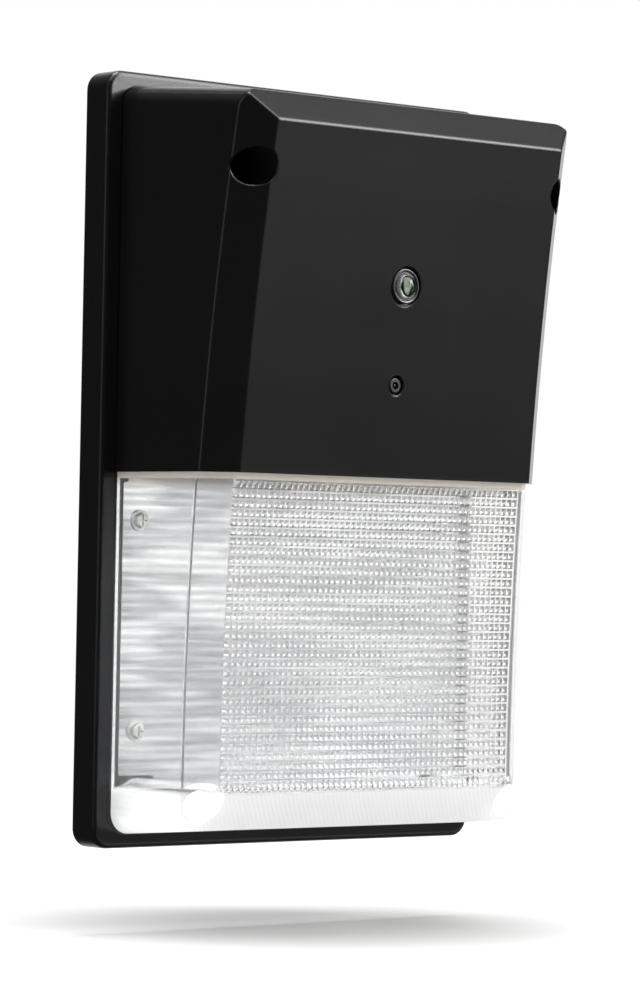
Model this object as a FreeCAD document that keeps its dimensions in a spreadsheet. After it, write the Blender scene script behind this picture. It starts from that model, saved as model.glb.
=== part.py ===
"""Wall pack light: a back plate for the wall, a black front housing and a clear ribbed lens.

Frame: millimetres, +X to the right seen from the front, +Z up, and +Y into the wall. The origin is
the centre of the plate's back face, which lies on the wall. A depth is a distance out from the wall.
"""

import FreeCAD, Part
import math
import os
import re

import Sketcher
from FreeCAD import Placement, Rotation, Vector

doc = FreeCAD.newDocument("wall_pack_light")

# ---------------------------------------------------------------- driving dimensions
SIZES = {
    # back plate
    "plate_width": 209.0,
    "plate_height": 320.0,
    "plate_depth": 14.0,
    "plate_corner": 8.0,
    "plate_edge": 2.0,
    "plate_floor": 3.0,
    "flange_side": 18.5,
    "flange_end": 17.0,
    "opening_corner": 6.0,
    "channel_wall": 3.0,
    "channel_depth": 6.0,
    "floor_rib_thickness": 2.4,
    "floor_rib_height": 6.0,
    "floor_rib_across": 52.0,
    "floor_rib_end_gap": 13.0,
    "floor_rib_below_seam": 8.7,
    # front cover as a whole
    "cover_margin_side": 7.5,
    "cover_margin_end": 6.0,
    "cover_gap": 0.3,
    "cover_draft_angle": 4.57,
    "cover_corner": 8.0,
    "edge_round": 1.6,
    "front_low_from_end": 24.0,
    "front_low_depth": 69.3,
    "front_radius": 1540.0,
    "chamfer_on_front": 11.6,
    "chamfer_on_side": 11.0,
    "seam_height": -5.3,
    "housing_wall": 2.6,
    # lens
    "lens_wall": 2.6,
    "lens_side_step": 1.1,
    "lens_front_step": 3.1,
    "lens_chamfer_front": 15.5,
    "lens_chamfer_end": 12.0,
    "lens_corner": 9.0,
    "lens_tongue": 11.0,
    "lens_step_height": 2.6,
    "seal_inset": 2.0,
    "seal_height": 5.0,
    "tongue_clearance": 1.0,
    "prism_pitch": 3.8,
    "prism_relief": 1.1,
    "prism_root": 0.3,
    "prism_lean_ratio": 0.5,
    "prism_crest": 0.2,
    "prism_top_margin": 0.5,
    "prism_end_margin": 20.0,
    # cover screws and their bores
    "screw_from_side": 13.0,
    "screw_from_top": 36.7,
    "screw_from_bottom": 13.4,
    "access_bore": 15.5,
    "access_wall": 2.0,
    "access_floor": 4.0,
    "screw_clearance_hole": 5.6,
    "cover_screw_shank": 5.0,
    "cover_screw_head": 9.5,
    "cover_screw_head_height": 4.6,
    "cover_screw_length": 13.5,
    "cover_screw_socket": 4.0,
    "socket_depth": 2.4,
    "post_radius": 6.5,
    "post_hole_depth": 11.0,
    "thread_clearance": 0.1,
    "washer_thickness": 1.2,
    "cover_screw_washer_rim": 1.6,
    "retainer_thickness": 0.8,
    "retainer_outside": 8.2,
    "retainer_clearance": 0.3,
    # gaskets
    "gasket_inset": 0.4,
    "gasket_width": 3.6,
    "gasket_depth": 2.0,
    # reflector pan
    "pan_thickness": 1.0,
    "pan_clearance": 1.4,
    "pan_top": 2.0,
    "pan_from_bottom": 18.0,
    "pan_corner": 1.0,
    "pan_bore_clearance": 0.8,
    "pan_screw_from_side": 13.5,
    "pan_screw_below_seam": 19.7,
    "pan_screw_from_bottom": 24.3,
    "pan_boss_radius": 4.5,
    # LED bracket, board and chips
    "bracket_length": 150.0,
    "bracket_thickness": 2.5,
    "bracket_shelf_height": 11.0,
    "bracket_flange": 12.0,
    "bracket_reach": 58.0,
    "bracket_screw_x": 62.0,
    "tab_half_width": 16.0,
    "tab_top": 44.0,
    "tab_reach": 66.0,
    "fin_count": 12,
    "fin_pitch": 12.0,
    "fin_thickness": 1.8,
    "fin_height": 9.0,
    "fin_margin": 12.0,
    "board_length": 140.0,
    "board_depth": 28.0,
    "board_thickness": 1.6,
    "board_centre_depth": 40.0,
    "chip_size": 3.0,
    "chip_thickness": 0.8,
    "chip_columns": 12,
    "chip_rows": 2,
    "chip_pitch": 11.0,
    "chip_row_pitch": 11.0,
    # driver
    "driver_length": 112.0,
    "driver_height": 42.0,
    "driver_depth": 28.0,
    "driver_wall": 1.6,
    "driver_from_top": 63.0,
    "driver_corner": 3.0,
    "driver_tab": 9.0,
    "driver_tab_thickness": 2.0,
    "low_boss_height": 5.0,
    "small_hole_depth": 6.5,
    "driver_lid_thickness": 1.4,
    # terminal block and earth screw
    "terminal_length": 30.0,
    "terminal_height": 14.0,
    "terminal_depth": 13.0,
    "terminal_middle": 34.5,
    "terminal_ear": 7.0,
    "terminal_poles": 3,
    "terminal_wire_hole": 3.6,
    "terminal_screw": 3.4,
    "terminal_wire_depth": 4.5,
    "clamp_screw_length": 4.0,
    "clamp_screw_sink": 1.5,
    "clamp_slot_width": 0.7,
    "clamp_slot_depth": 0.9,
    "earth_screw_x": -62.0,
    "earth_screw_z": 30.0,
    # small screws
    "small_screw_shank": 3.5,
    "small_screw_head": 7.0,
    "small_screw_head_height": 2.2,
    "small_screw_length": 6.0,
    "small_boss_radius": 4.5,
    "board_screw_shank": 2.5,
    "board_screw_head": 4.6,
    "board_screw_head_height": 1.6,
    "board_screw_x": 63.0,
    "board_screw_offset": 10.0,
    "head_taper_ratio": 0.5,
    # photocell
    "photocell_height": 74.0,
    "photocell_recess": 16.4,
    "photocell_recess_depth": 80.6,
    "photocell_seat": 3.0,
    "photocell_boss": 24.0,
    "photocell_hole": 12.4,
    "photocell_barrel": 12.0,
    "photocell_barrel_length": 18.0,
    "photocell_bezel": 14.6,
    "photocell_bezel_thickness": 1.6,
    "photocell_dome": 9.4,
    "photocell_dome_rise": 3.4,
    "photocell_sensor": 7.0,
    "photocell_nut": 17.0,
    "photocell_nut_thickness": 3.0,
    "photocell_gasket_thickness": 0.8,
    "bezel_chamfer": 0.6,
    "cell_well_depth": 4.0,
    "cell_thickness": 1.6,
    "cell_air": 0.2,
    "dome_clearance": 0.1,
    "dome_chamfer": 1.6,
    # centre screw
    "centre_screw_height": 33.0,
    "centre_recess": 8.2,
    "centre_recess_depth": 75.4,
    "centre_boss": 12.0,
    "centre_screw_hole": 4.4,
    "centre_screw_shank": 4.0,
    "centre_screw_head": 7.0,
    "centre_screw_head_height": 2.0,
    "centre_screw_socket": 2.5,
    # lens clips
    "clip_x": 52.0,
    "clip_width": 18.0,
    "clip_thickness": 1.5,
    "clip_height": 15.0,
    "clip_boss_height": 12.0,
    "clip_low": 0.0,
    # wall fixings
    "wall_screw_across": 130.0,
    "wall_screw_apart": 250.0,
    "wall_screw_hole": 6.5,
    "box_screw_across": 88.9,
    "box_screw_slot": 9.0,
    "box_screw_hole": 4.5,
    "wire_entry_height": 57.0,
    "wire_entry": 22.2,
}

sheet = doc.addObject("Spreadsheet::Sheet", "Sizes")
for row, (alias, number) in enumerate(SIZES.items(), start=1):
    sheet.set(f"A{row}", alias)
    sheet.set(f"B{row}", str(number))
    sheet.setAlias(f"B{row}", alias)
doc.recompute()

# ---------------------------------------------------------------- expressions
WORD = re.compile(r"[a-z_]+")


def bound(text):
    """The expression with each named size read from the sheet."""
    return WORD.sub(lambda m: "Sizes." + m.group() if m.group() in SIZES else m.group(), str(text))


def value(text):
    """The expression's number now, used only for starting positions and for picking edges."""
    return float(sheet.evalExpression(bound(text)))


def minus(term):
    return f"-({term})"


COVER_SIDE = "plate_width / 2 - cover_margin_side"
COVER_END = "plate_height / 2 - cover_margin_end"
COVER_BASE = "plate_depth + cover_gap"
COVER_REACH = "plate_height / 3"
FRONT_LOW = f"({COVER_END} - front_low_from_end) * -1"
FAR = "plate_height"
SCREW_X = f"({COVER_SIDE} - screw_from_side)"
SCREW_HIGH = f"({COVER_END} - screw_from_top)"
SCREW_LOW = f"(screw_from_bottom - ({COVER_END}))"
PAN_BOTTOM = f"(pan_from_bottom - ({COVER_END}))"
DRIVER_MIDDLE = "(plate_height / 2 - driver_from_top)"


def front_depth(height, inset="0"):
    """Depth of the swept front at a height, for a skin that lies inset behind the outside."""
    radius = f"(front_radius + ({inset}))"
    fall = f"sqrt({radius} ^ 2 - (({height}) - ({FRONT_LOW})) ^ 2)"
    return f"front_low_depth - ({inset}) + {radius} - {fall}"


# ---------------------------------------------------------------- sketches
def plane(body, role):
    return next(feature for feature in body.Origin.OriginFeatures if feature.Role == role)


def sketch_on(body, name, role="XZ_Plane", offset="0"):
    """An empty sketch on one of the body's own planes. On XZ_Plane the offset is a depth."""
    sketch = body.newObject("Sketcher::SketchObject", name)
    sketch.AttachmentSupport = (plane(body, role), [""])
    sketch.MapMode = "FlatFace"
    sketch.setExpression("AttachmentOffset.Base.z", bound(offset))
    return sketch


def hold(sketch, kind, target, expression):
    """One dimension of the sketch, driven by an expression."""
    number = sketch.addConstraint(Sketcher.Constraint(kind, *target, value(expression)))
    sketch.setExpression(f"Constraints[{number}]", bound(expression))


def pin(sketch, geometry, end, across, up):
    hold(sketch, "DistanceX", (-1, 1, geometry, end), across)
    hold(sketch, "DistanceY", (-1, 1, geometry, end), up)


def polygon(sketch, corners):
    """A closed outline through corners, each a pair of expressions."""
    points = [Vector(value(across), value(up), 0) for across, up in corners]
    first = sketch.GeometryCount
    for index, point in enumerate(points):
        following = points[(index + 1) % len(points)]
        sketch.addGeometry(Part.LineSegment(point, following), False)
    for index, corner in enumerate(corners):
        following = first + (index + 1) % len(corners)
        sketch.addConstraint(Sketcher.Constraint("Coincident", first + index, 2, following, 1))
        pin(sketch, first + index, 1, *corner)


def rectangle(sketch, left, low, right, high):
    polygon(sketch, [(left, low), (right, low), (right, high), (left, high)])


def rounded_rectangle(sketch, side, low, high, radius):
    """A rectangle centred on the Z axis with rounded corners."""
    right, bottom, top, turn = (value(term) for term in (side, low, high, radius))
    first = sketch.GeometryCount
    lines = [
        ((-right + turn, bottom), (right - turn, bottom)),
        ((right, bottom + turn), (right, top - turn)),
        ((right - turn, top), (-right + turn, top)),
        ((-right, top - turn), (-right, bottom + turn)),
    ]
    centres = [
        (right - turn, bottom + turn),
        (right - turn, top - turn),
        (-right + turn, top - turn),
        (-right + turn, bottom + turn),
    ]
    for start, end in lines:
        sketch.addGeometry(Part.LineSegment(Vector(*start, 0), Vector(*end, 0)), False)
    for quarter, centre in enumerate(centres, start=-1):
        circle_of_corner = Part.Circle(Vector(*centre, 0), Vector(0, 0, 1), turn)
        begin = quarter * math.pi / 2
        sketch.addGeometry(Part.ArcOfCircle(circle_of_corner, begin, begin + math.pi / 2), False)
    for index in range(4):
        arc = first + 4 + index
        following = first + (index + 1) % 4
        sketch.addConstraint(Sketcher.Constraint("Tangent", first + index, 2, arc, 1))
        sketch.addConstraint(Sketcher.Constraint("Tangent", arc, 2, following, 1))
        sketch.addConstraint(
            Sketcher.Constraint("Vertical" if index % 2 else "Horizontal", first + index)
        )
        hold(sketch, "Radius", (arc,), radius)
    hold(sketch, "DistanceY", (-1, 1, first, 1), low)
    hold(sketch, "DistanceX", (-1, 1, first + 1, 1), side)
    hold(sketch, "DistanceY", (-1, 1, first + 2, 1), high)
    hold(sketch, "DistanceX", (-1, 1, first + 3, 1), minus(side))


def circle(sketch, across, up, radius):
    number = sketch.addGeometry(
        Part.Circle(Vector(value(across), value(up), 0), Vector(0, 0, 1), value(radius)), False
    )
    hold(sketch, "Radius", (number,), radius)
    pin(sketch, number, 3, across, up)


def hexagon(sketch, flats):
    """A hexagon about the sketch's origin, with two corners on its first axis."""
    corner = f"({flats}) / sqrt(3)"
    half = f"({flats}) / 2"
    polygon(
        sketch,
        [
            (corner, "0"),
            (f"{corner} / 2", half),
            (minus(f"{corner} / 2"), half),
            (minus(corner), "0"),
            (minus(f"{corner} / 2"), minus(half)),
            (f"{corner} / 2", minus(half)),
        ],
    )


# ---------------------------------------------------------------- features
def new_body(label):
    body = doc.addObject("PartDesign::Body", label)
    body.Label = label
    return body


def pad(body, name, sketch, length, taper=None, reverse=False, midplane=False):
    feature = body.newObject("PartDesign::Pad", name)
    feature.Profile = sketch
    feature.setExpression("Length", bound(length))
    feature.Reversed = reverse
    feature.Midplane = midplane
    if taper:
        feature.setExpression("TaperAngle", bound(taper))
    doc.recompute()
    return feature


def pocket(body, name, sketch, length=None, reverse=False, midplane=False):
    """Removes the sketch's area; without a length it goes right through."""
    before = body.Shape.Volume
    feature = body.newObject("PartDesign::Pocket", name)
    feature.Profile = sketch
    feature.Reversed = reverse
    feature.Midplane = midplane
    if length is None:
        feature.Type = "ThroughAll"
    else:
        feature.setExpression("Length", bound(length))
    doc.recompute()
    assert body.Shape.Volume < before, f"{name} cuts nothing"
    return feature


def dress(body, kind, name, chosen, **sizes):
    """A fillet or chamfer on the edges of the body for which chosen(edge) is true."""
    tip = body.Tip
    names = [f"Edge{n}" for n, edge in enumerate(tip.Shape.Edges, start=1) if chosen(edge)]
    assert names, f"{name} finds no edge"
    feature = body.newObject(f"PartDesign::{kind}", name)
    feature.Base = (tip, names)
    for size, expression in sizes.items():
        feature.setExpression(size, bound(expression))
    return feature


def round_edges(body, name, chosen, radius):
    feature = dress(body, "Fillet", name, chosen, Radius=radius)
    doc.recompute()
    return feature


def chamfer_rim(body, name, depth, size):
    """Chamfers the widest round edge of a turned piece's front face."""
    front = value(minus(depth))
    rims = [edge for edge in body.Tip.Shape.Edges if abs(edge.BoundBox.YMax - front) < NEAR]
    widest = max(edge.Length for edge in rims)
    feature = dress(
        body,
        "Chamfer",
        name,
        lambda edge: abs(edge.BoundBox.YMax - front) < NEAR and abs(edge.Length - widest) < NEAR,
        Size=size,
    )
    doc.recompute()
    return feature


def place(body, depth, up):
    """Moves a body made at the origin to a depth and height on the centre line."""
    body.setExpression("Placement.Base.y", bound(minus(depth)))
    body.setExpression("Placement.Base.z", bound(up))


def middle(edge):
    """The point half way along an edge."""
    return edge.valueAt((edge.FirstParameter + edge.LastParameter) / 2)


def along(edge):
    """The unit direction between an edge's ends."""
    ends = edge.Vertexes
    if len(ends) < 2:
        return Vector()
    chord = ends[-1].Point - ends[0].Point
    return chord.normalize() if chord.Length else Vector()


NEAR = 0.01
PARALLEL_RATIO = 0.99


def runs_out(edge):
    """Whether an edge runs straight out from the wall."""
    return abs(along(edge).y) > PARALLEL_RATIO


def runs_across(edge):
    """Whether an edge runs from side to side."""
    return abs(along(edge).x) > PARALLEL_RATIO


# ---------------------------------------------------------------- booleans and groups
def boolean(kind, name, base, *tools):
    if kind == "Cut":
        feature = doc.addObject("Part::Cut", name)
        feature.Base, feature.Tool = base, tools[0]
    else:
        feature = doc.addObject(f"Part::Multi{kind}", name)
        feature.Shapes = [base, *tools]
    return feature


def cut(name, base, tool):
    return boolean("Cut", name, base, tool)


def common(name, base, tool):
    return boolean("Common", name, base, tool)


def fuse(name, base, *tools):
    feature = boolean("Fuse", name, base, *tools)
    feature.Refine = True
    return feature


def cylinder(name, across, up, radius, low_depth, high_depth):
    """A cylinder that stands out from the wall between two depths."""
    rod = doc.addObject("Part::Cylinder", name)
    rod.setExpression("Radius", bound(radius))
    rod.setExpression("Height", bound(f"({high_depth}) - ({low_depth})"))
    rod.Placement = Placement(Vector(), Rotation(Vector(1, 0, 0), 90))
    for axis, expression in zip("xyz", (across, minus(low_depth), up)):
        rod.setExpression(f"Placement.Base.{axis}", bound(expression))
    return rod


def box(name, low, high):
    """A box between two corners, each three expressions in X, Y and Z."""
    block = doc.addObject("Part::Box", name)
    for side, first, last in zip(("Length", "Width", "Height"), low, high):
        block.setExpression(side, bound(f"({last}) - ({first})"))
    for axis, first in zip("xyz", low):
        block.setExpression(f"Placement.Base.{axis}", bound(first))
    return block


def slab(name, low, high):
    """All the space between two heights."""
    return box(name, (minus(FAR), minus(FAR), low), (FAR, FAR, high))


def copies(name, piece, places, turn=None):
    """Copies of a piece, one at each place of across, depth and height."""
    links = []
    for number, (across, depth, up) in enumerate(places):
        link = doc.addObject("App::Link", f"{name}_{number}")
        link.LinkedObject = piece
        if turn:
            link.Placement = Placement(Vector(), turn)
        for axis, expression in zip("xyz", (across, minus(depth), up)):
            link.setExpression(f"Placement.Base.{axis}", bound(expression))
        links.append(link)
    group = doc.addObject("Part::Compound", name)
    group.Links = links
    return group


def named(feature, label):
    """Marks a feature as the sub-part of that name."""
    feature.Label = label
    SUB_PARTS.append(feature)
    return feature


SUB_PARTS = []
MIRRORED = ("1", "-1")


def pairs(across, *heights):
    """Left and right places at each height, as across and up."""
    return [(f"{sign} * ({across})", up) for sign in MIRRORED for up in heights]


HOUSING_SCREWS = pairs(SCREW_X, SCREW_HIGH)
LENS_SCREWS = pairs(SCREW_X, SCREW_LOW)
COVER_SCREWS = HOUSING_SCREWS + LENS_SCREWS
PAN_SCREWS = pairs(
    f"{COVER_SIDE} - pan_screw_from_side",
    "seam_height - pan_screw_below_seam",
    f"{PAN_BOTTOM} + pan_screw_from_bottom",
)
BRACKET_SCREW_HEIGHT = "bracket_shelf_height + bracket_thickness + bracket_flange / 2"
BRACKET_SCREWS = pairs("bracket_screw_x", BRACKET_SCREW_HEIGHT)
BRACKET_SCREWS += pairs("bracket_screw_x / 3", BRACKET_SCREW_HEIGHT)
DRIVER_SCREWS = pairs("driver_length / 2 + driver_tab / 2", DRIVER_MIDDLE)
TERMINAL_SCREWS = pairs("terminal_length / 2 + terminal_ear / 2", "terminal_middle")
WALL_SCREWS = pairs("wall_screw_across / 2", "wall_screw_apart / 2", "-wall_screw_apart / 2")
BOX_SCREWS = pairs("box_screw_across / 2", "wire_entry_height")
EARTH_SCREW = [("earth_screw_x", "earth_screw_z")]
SMALL_HOLE = "small_screw_shank / 2 + thread_clearance"


def at_depth(places, depth):
    return [(across, depth, up) for across, up in places]


# ================================================================ back plate
def back_plate():
    """Die-cast tray: a floor, a deep rim with a flat flange, and bosses for all that it carries."""
    body = new_body("back_plate")
    outline = sketch_on(body, "plate_outline")
    rounded_rectangle(
        outline, "plate_width / 2", "-plate_height / 2", "plate_height / 2", "plate_corner"
    )
    pad(body, "plate_block", outline, "plate_depth")
    front = value(minus("plate_depth"))
    round_edges(
        body,
        "plate_front_edge",
        lambda edge: all(abs(v.Point.y - front) < NEAR for v in edge.Vertexes),
        "plate_edge",
    )
    opening = sketch_on(body, "opening_outline", offset="plate_depth")
    rounded_rectangle(
        opening,
        "plate_width / 2 - flange_side",
        "-plate_height / 2 + flange_end",
        "plate_height / 2 - flange_end",
        "opening_corner",
    )
    pocket(body, "tray", opening, "plate_depth - plate_floor")

    posts = sketch_on(body, "post_circles", offset="plate_floor")
    for across, up in COVER_SCREWS:
        circle(posts, across, up, "post_radius")
    pad(body, "cover_posts", posts, "plate_depth - plate_floor")
    bosses = sketch_on(body, "tall_boss_circles", offset="plate_floor")
    for across, up in PAN_SCREWS + BRACKET_SCREWS:
        circle(bosses, across, up, "pan_boss_radius")
    pad(body, "tall_bosses", bosses, "plate_depth - plate_floor")
    low_bosses = sketch_on(body, "low_boss_circles", offset="plate_floor")
    for across, up in DRIVER_SCREWS + EARTH_SCREW + TERMINAL_SCREWS:
        circle(low_bosses, across, up, "small_boss_radius")
    pad(body, "low_bosses", low_bosses, "low_boss_height")
    ribs = sketch_on(body, "floor_rib_outlines", offset="plate_floor")
    for sign in MIRRORED:
        rectangle(
            ribs,
            f"{sign} * floor_rib_across - floor_rib_thickness / 2",
            "-plate_height / 2 + flange_end + floor_rib_end_gap",
            f"{sign} * floor_rib_across + floor_rib_thickness / 2",
            "seam_height - floor_rib_below_seam",
        )
    pad(body, "floor_ribs", ribs, "floor_rib_height")

    tapped = sketch_on(body, "post_hole_circles", offset="plate_depth")
    for across, up in COVER_SCREWS:
        circle(tapped, across, up, "cover_screw_shank / 2 + thread_clearance")
    pocket(body, "post_holes", tapped, "post_hole_depth")
    small = sketch_on(body, "tall_boss_hole_circles", offset="plate_depth")
    for across, up in PAN_SCREWS + BRACKET_SCREWS:
        circle(small, across, up, SMALL_HOLE)
    pocket(body, "tall_boss_holes", small, "small_hole_depth")
    low = sketch_on(body, "low_boss_hole_circles", offset="plate_floor + low_boss_height")
    for across, up in DRIVER_SCREWS + EARTH_SCREW + TERMINAL_SCREWS:
        circle(low, across, up, SMALL_HOLE)
    pocket(body, "low_boss_holes", low, "small_hole_depth")

    holes = sketch_on(body, "wall_hole_circles", offset="plate_floor")
    for across, up in WALL_SCREWS:
        circle(holes, across, up, "wall_screw_hole / 2")
    circle(holes, "0", "wire_entry_height", "wire_entry / 2")
    pocket(body, "wall_holes", holes, "plate_floor")
    slots = sketch_on(body, "box_slot_outlines", offset="plate_floor")
    for across, up in BOX_SCREWS:
        slot(slots, across, up, "box_screw_slot", "box_screw_hole")
    pocket(body, "box_slots", slots, "plate_floor")

    groove = sketch_on(body, "gasket_groove_outline", offset="plate_depth")
    gasket_ring(groove)
    pocket(body, "gasket_groove", groove, "gasket_depth")
    channel = sketch_on(body, "rear_channel_outline")
    channel_ring(channel)
    pocket(body, "rear_channel", channel, "channel_depth", reverse=True)
    return named(body, "back_plate")


def slot(sketch, across, up, length, width):
    """A slot along X with round ends, from end to end as long as length."""
    middle_x, middle_z, radius = value(across), value(up), value(width) / 2
    reach = value(length) / 2 - radius
    first = sketch.GeometryCount
    for sign in (1, -1):
        start = Vector(middle_x + sign * reach, middle_z + sign * radius, 0)
        end = Vector(middle_x - sign * reach, middle_z + sign * radius, 0)
        sketch.addGeometry(Part.LineSegment(start, end), False)
        end_circle = Part.Circle(Vector(middle_x - sign * reach, middle_z, 0), Vector(0, 0, 1), radius)
        begin = math.pi / 2 if sign > 0 else -math.pi / 2
        sketch.addGeometry(Part.ArcOfCircle(end_circle, begin, begin + math.pi), False)
    for index in range(4):
        following = first + (index + 1) % 4
        sketch.addConstraint(Sketcher.Constraint("Tangent", first + index, 2, following, 1))
    sketch.addConstraint(Sketcher.Constraint("Horizontal", first))
    hold(sketch, "Radius", (first + 1,), f"({width}) / 2")
    reach_text = f"(({length}) - ({width})) / 2"
    pin(sketch, first + 1, 3, f"({across}) - {reach_text}", up)
    hold(sketch, "DistanceX", (-1, 1, first + 3, 3), f"({across}) + {reach_text}")


def gasket_ring(sketch):
    """The seat of the cover's rim seal, on the flange just inside the cover's edge."""
    for inset in ("gasket_inset", "gasket_inset + gasket_width"):
        rounded_rectangle(
            sketch,
            f"{COVER_SIDE} - ({inset})",
            f"-({COVER_END}) + {inset}",
            f"{COVER_END} - ({inset})",
            f"cover_corner - ({inset})",
        )


def channel_ring(sketch):
    """The channel behind the flange, between the rim's outer and inner walls."""
    rounded_rectangle(
        sketch,
        "plate_width / 2 - channel_wall",
        "-plate_height / 2 + channel_wall",
        "plate_height / 2 - channel_wall",
        "plate_corner - channel_wall",
    )
    rounded_rectangle(
        sketch,
        "plate_width / 2 - flange_side + channel_wall",
        "-plate_height / 2 + flange_end - channel_wall",
        "plate_height / 2 - flange_end + channel_wall",
        "opening_corner + channel_wall",
    )


def gaskets():
    """The foam ring that fills the rear channel and the silicone ring in the flange's groove."""
    foam = new_body("wall_gasket")
    ring = sketch_on(foam, "foam_outline")
    channel_ring(ring)
    pad(foam, "foam_ring", ring, "channel_depth")
    named(foam, "wall_gasket")
    silicone = new_body("cover_gasket")
    rim = sketch_on(silicone, "silicone_outline", offset="plate_depth - gasket_depth")
    gasket_ring(rim)
    pad(silicone, "silicone_ring", rim, "gasket_depth")
    named(silicone, "cover_gasket")


# ================================================================ the cover's swept form
def front_outline(sketch, inset):
    """The space in front of the swept front: one long arc whose centre lies out in front."""
    radius = f"front_radius + ({inset})"
    centre = minus(f"front_low_depth + front_radius")
    low, high = "-plate_height / 2", "plate_height / 2"
    out = minus(FAR)
    middle_point = Vector(value(centre), value(FRONT_LOW), 0)
    turn = [
        math.asin((value(height) - middle_point.y) / value(radius)) for height in (low, high)
    ]
    sweep = Part.ArcOfCircle(Part.Circle(middle_point, Vector(0, 0, 1), value(radius)), *turn)
    corners = [
        sweep.EndPoint,
        Vector(value(out), value(high), 0),
        Vector(value(out), value(low), 0),
        sweep.StartPoint,
    ]
    sketch.addGeometry(sweep, False)
    for start, end in zip(corners, corners[1:]):
        sketch.addGeometry(Part.LineSegment(start, end), False)
    pin(sketch, 0, 3, centre, FRONT_LOW)
    hold(sketch, "Radius", (0,), radius)
    hold(sketch, "DistanceY", (-1, 1, 0, 1), low)
    hold(sketch, "DistanceY", (-1, 1, 0, 2), high)
    sketch.addConstraint(Sketcher.Constraint("Coincident", 0, 2, 1, 1))
    sketch.addConstraint(Sketcher.Constraint("Coincident", 1, 2, 2, 1))
    sketch.addConstraint(Sketcher.Constraint("Coincident", 2, 2, 3, 1))
    sketch.addConstraint(Sketcher.Constraint("Coincident", 3, 2, 0, 1))
    pin(sketch, 2, 1, out, high)
    pin(sketch, 2, 2, out, low)


def on_front(point, inset):
    return abs(-point.y - value(front_depth(repr(point.z), inset))) < NEAR


def bevel(body, name, inset, chosen, reach, on_front_size, on_side_size):
    """A chamfer of two lengths on one edge of the front, turned so the first lies on the front."""
    before = max(reach(v.Point) for v in body.Shape.Vertexes if on_front(v.Point, inset))
    feature = dress(body, "Chamfer", name, chosen, Size=on_front_size, Size2=on_side_size)
    feature.ChamferType = "Two distances"
    for flipped in (False, True):
        feature.FlipDirection = flipped
        doc.recompute()
        after = max(reach(v.Point) for v in body.Shape.Vertexes if on_front(v.Point, inset))
        if abs(before - after - value(on_front_size)) < LENGTH_SLACK:
            break
    return feature


LENGTH_SLACK = 0.2


def cover_form(name, side, front, low_end=None, thickness=None):
    """The cover's outer form, drafted and swept, with side, side and top chamfers.

    side and front say how far its walls and its front lie inside the housing's outside. thickness
    is given for a form that lies that far inside another, and keeps the chamfers parallel to it.
    """
    body = new_body(name)
    outline = sketch_on(body, f"{name}_outline", offset=COVER_BASE)
    end = side if thickness else "0"
    rectangle(
        outline,
        f"-({COVER_SIDE} - ({side}))",
        f"-({COVER_END} - ({end}))",
        f"{COVER_SIDE} - ({side})",
        f"{COVER_END} - ({end})",
    )
    pad(body, f"{name}_block", outline, COVER_REACH, taper="-cover_draft_angle")
    sweep = sketch_on(body, f"{name}_sweep", role="YZ_Plane")
    front_outline(sweep, front)
    pocket(body, f"{name}_front", sweep, length=FAR, midplane=True)
    scale = "1"
    if thickness:
        first, second = "chamfer_on_front", "chamfer_on_side"
        scale = (
            f"(1 - ({thickness}) * ({first} + {second} - sqrt({first} ^ 2 + {second} ^ 2))"
            f" / ({first} * {second}))"
        )
    first, second = f"chamfer_on_front * {scale}", f"chamfer_on_side * {scale}"

    def front_edge(test):
        return lambda edge: on_front(middle(edge), front) and test(edge)

    for label, sign in (("right", 1), ("left", -1)):
        bevel(
            body,
            f"{name}_{label}_chamfer",
            front,
            front_edge(lambda edge, sign=sign: middle(edge).x * sign > value(COVER_SIDE) / 2),
            lambda point, sign=sign: sign * point.x,
            first,
            second,
        )
    bevel(
        body,
        f"{name}_top_chamfer",
        front,
        front_edge(lambda edge: runs_across(edge) and middle(edge).z > value(SCREW_HIGH)),
        lambda point: point.z,
        first,
        second,
    )
    if low_end:
        bevel(
            body,
            f"{name}_bottom_chamfer",
            front,
            front_edge(lambda edge: runs_across(edge) and middle(edge).z < value(SCREW_LOW)),
            lambda point: -point.z,
            f"lens_chamfer_front * {scale}",
            f"lens_chamfer_end * {scale}",
        )
    return body


def round_corners(body, name, radius, high):
    """Rounds the two corner edges that run out from the wall, at the top or at the bottom."""
    sign = 1 if high else -1

    def corner(edge):
        point = middle(edge)
        out = abs(along(edge).y) > DRAFTED_RATIO
        return out and sign * point.z > value(SCREW_HIGH) and abs(point.x) > value(COVER_SIDE) / 2

    return round_edges(body, name, corner, radius)


def round_ridges(body, name):
    """Rounds the ridges between the swept front, its chamfers and the drafted walls."""

    def ridge(edge):
        return -middle(edge).y > value("front_low_depth") / 2 and abs(along(edge).y) < DRAFTED_RATIO

    return round_edges(body, name, ridge, "edge_round")


DRAFTED_RATIO = 0.9


# ================================================================ front housing
def bores(name, places, radius, low_depth, high_depth):
    """One cylinder at each place, as a single tool."""
    rods = [
        cylinder(f"{name}_{number}", across, up, radius, low_depth, high_depth)
        for number, (across, up) in enumerate(places)
    ]
    return fuse(name, rods[0], *rods[1:]) if len(rods) > 1 else rods[0]


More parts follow.
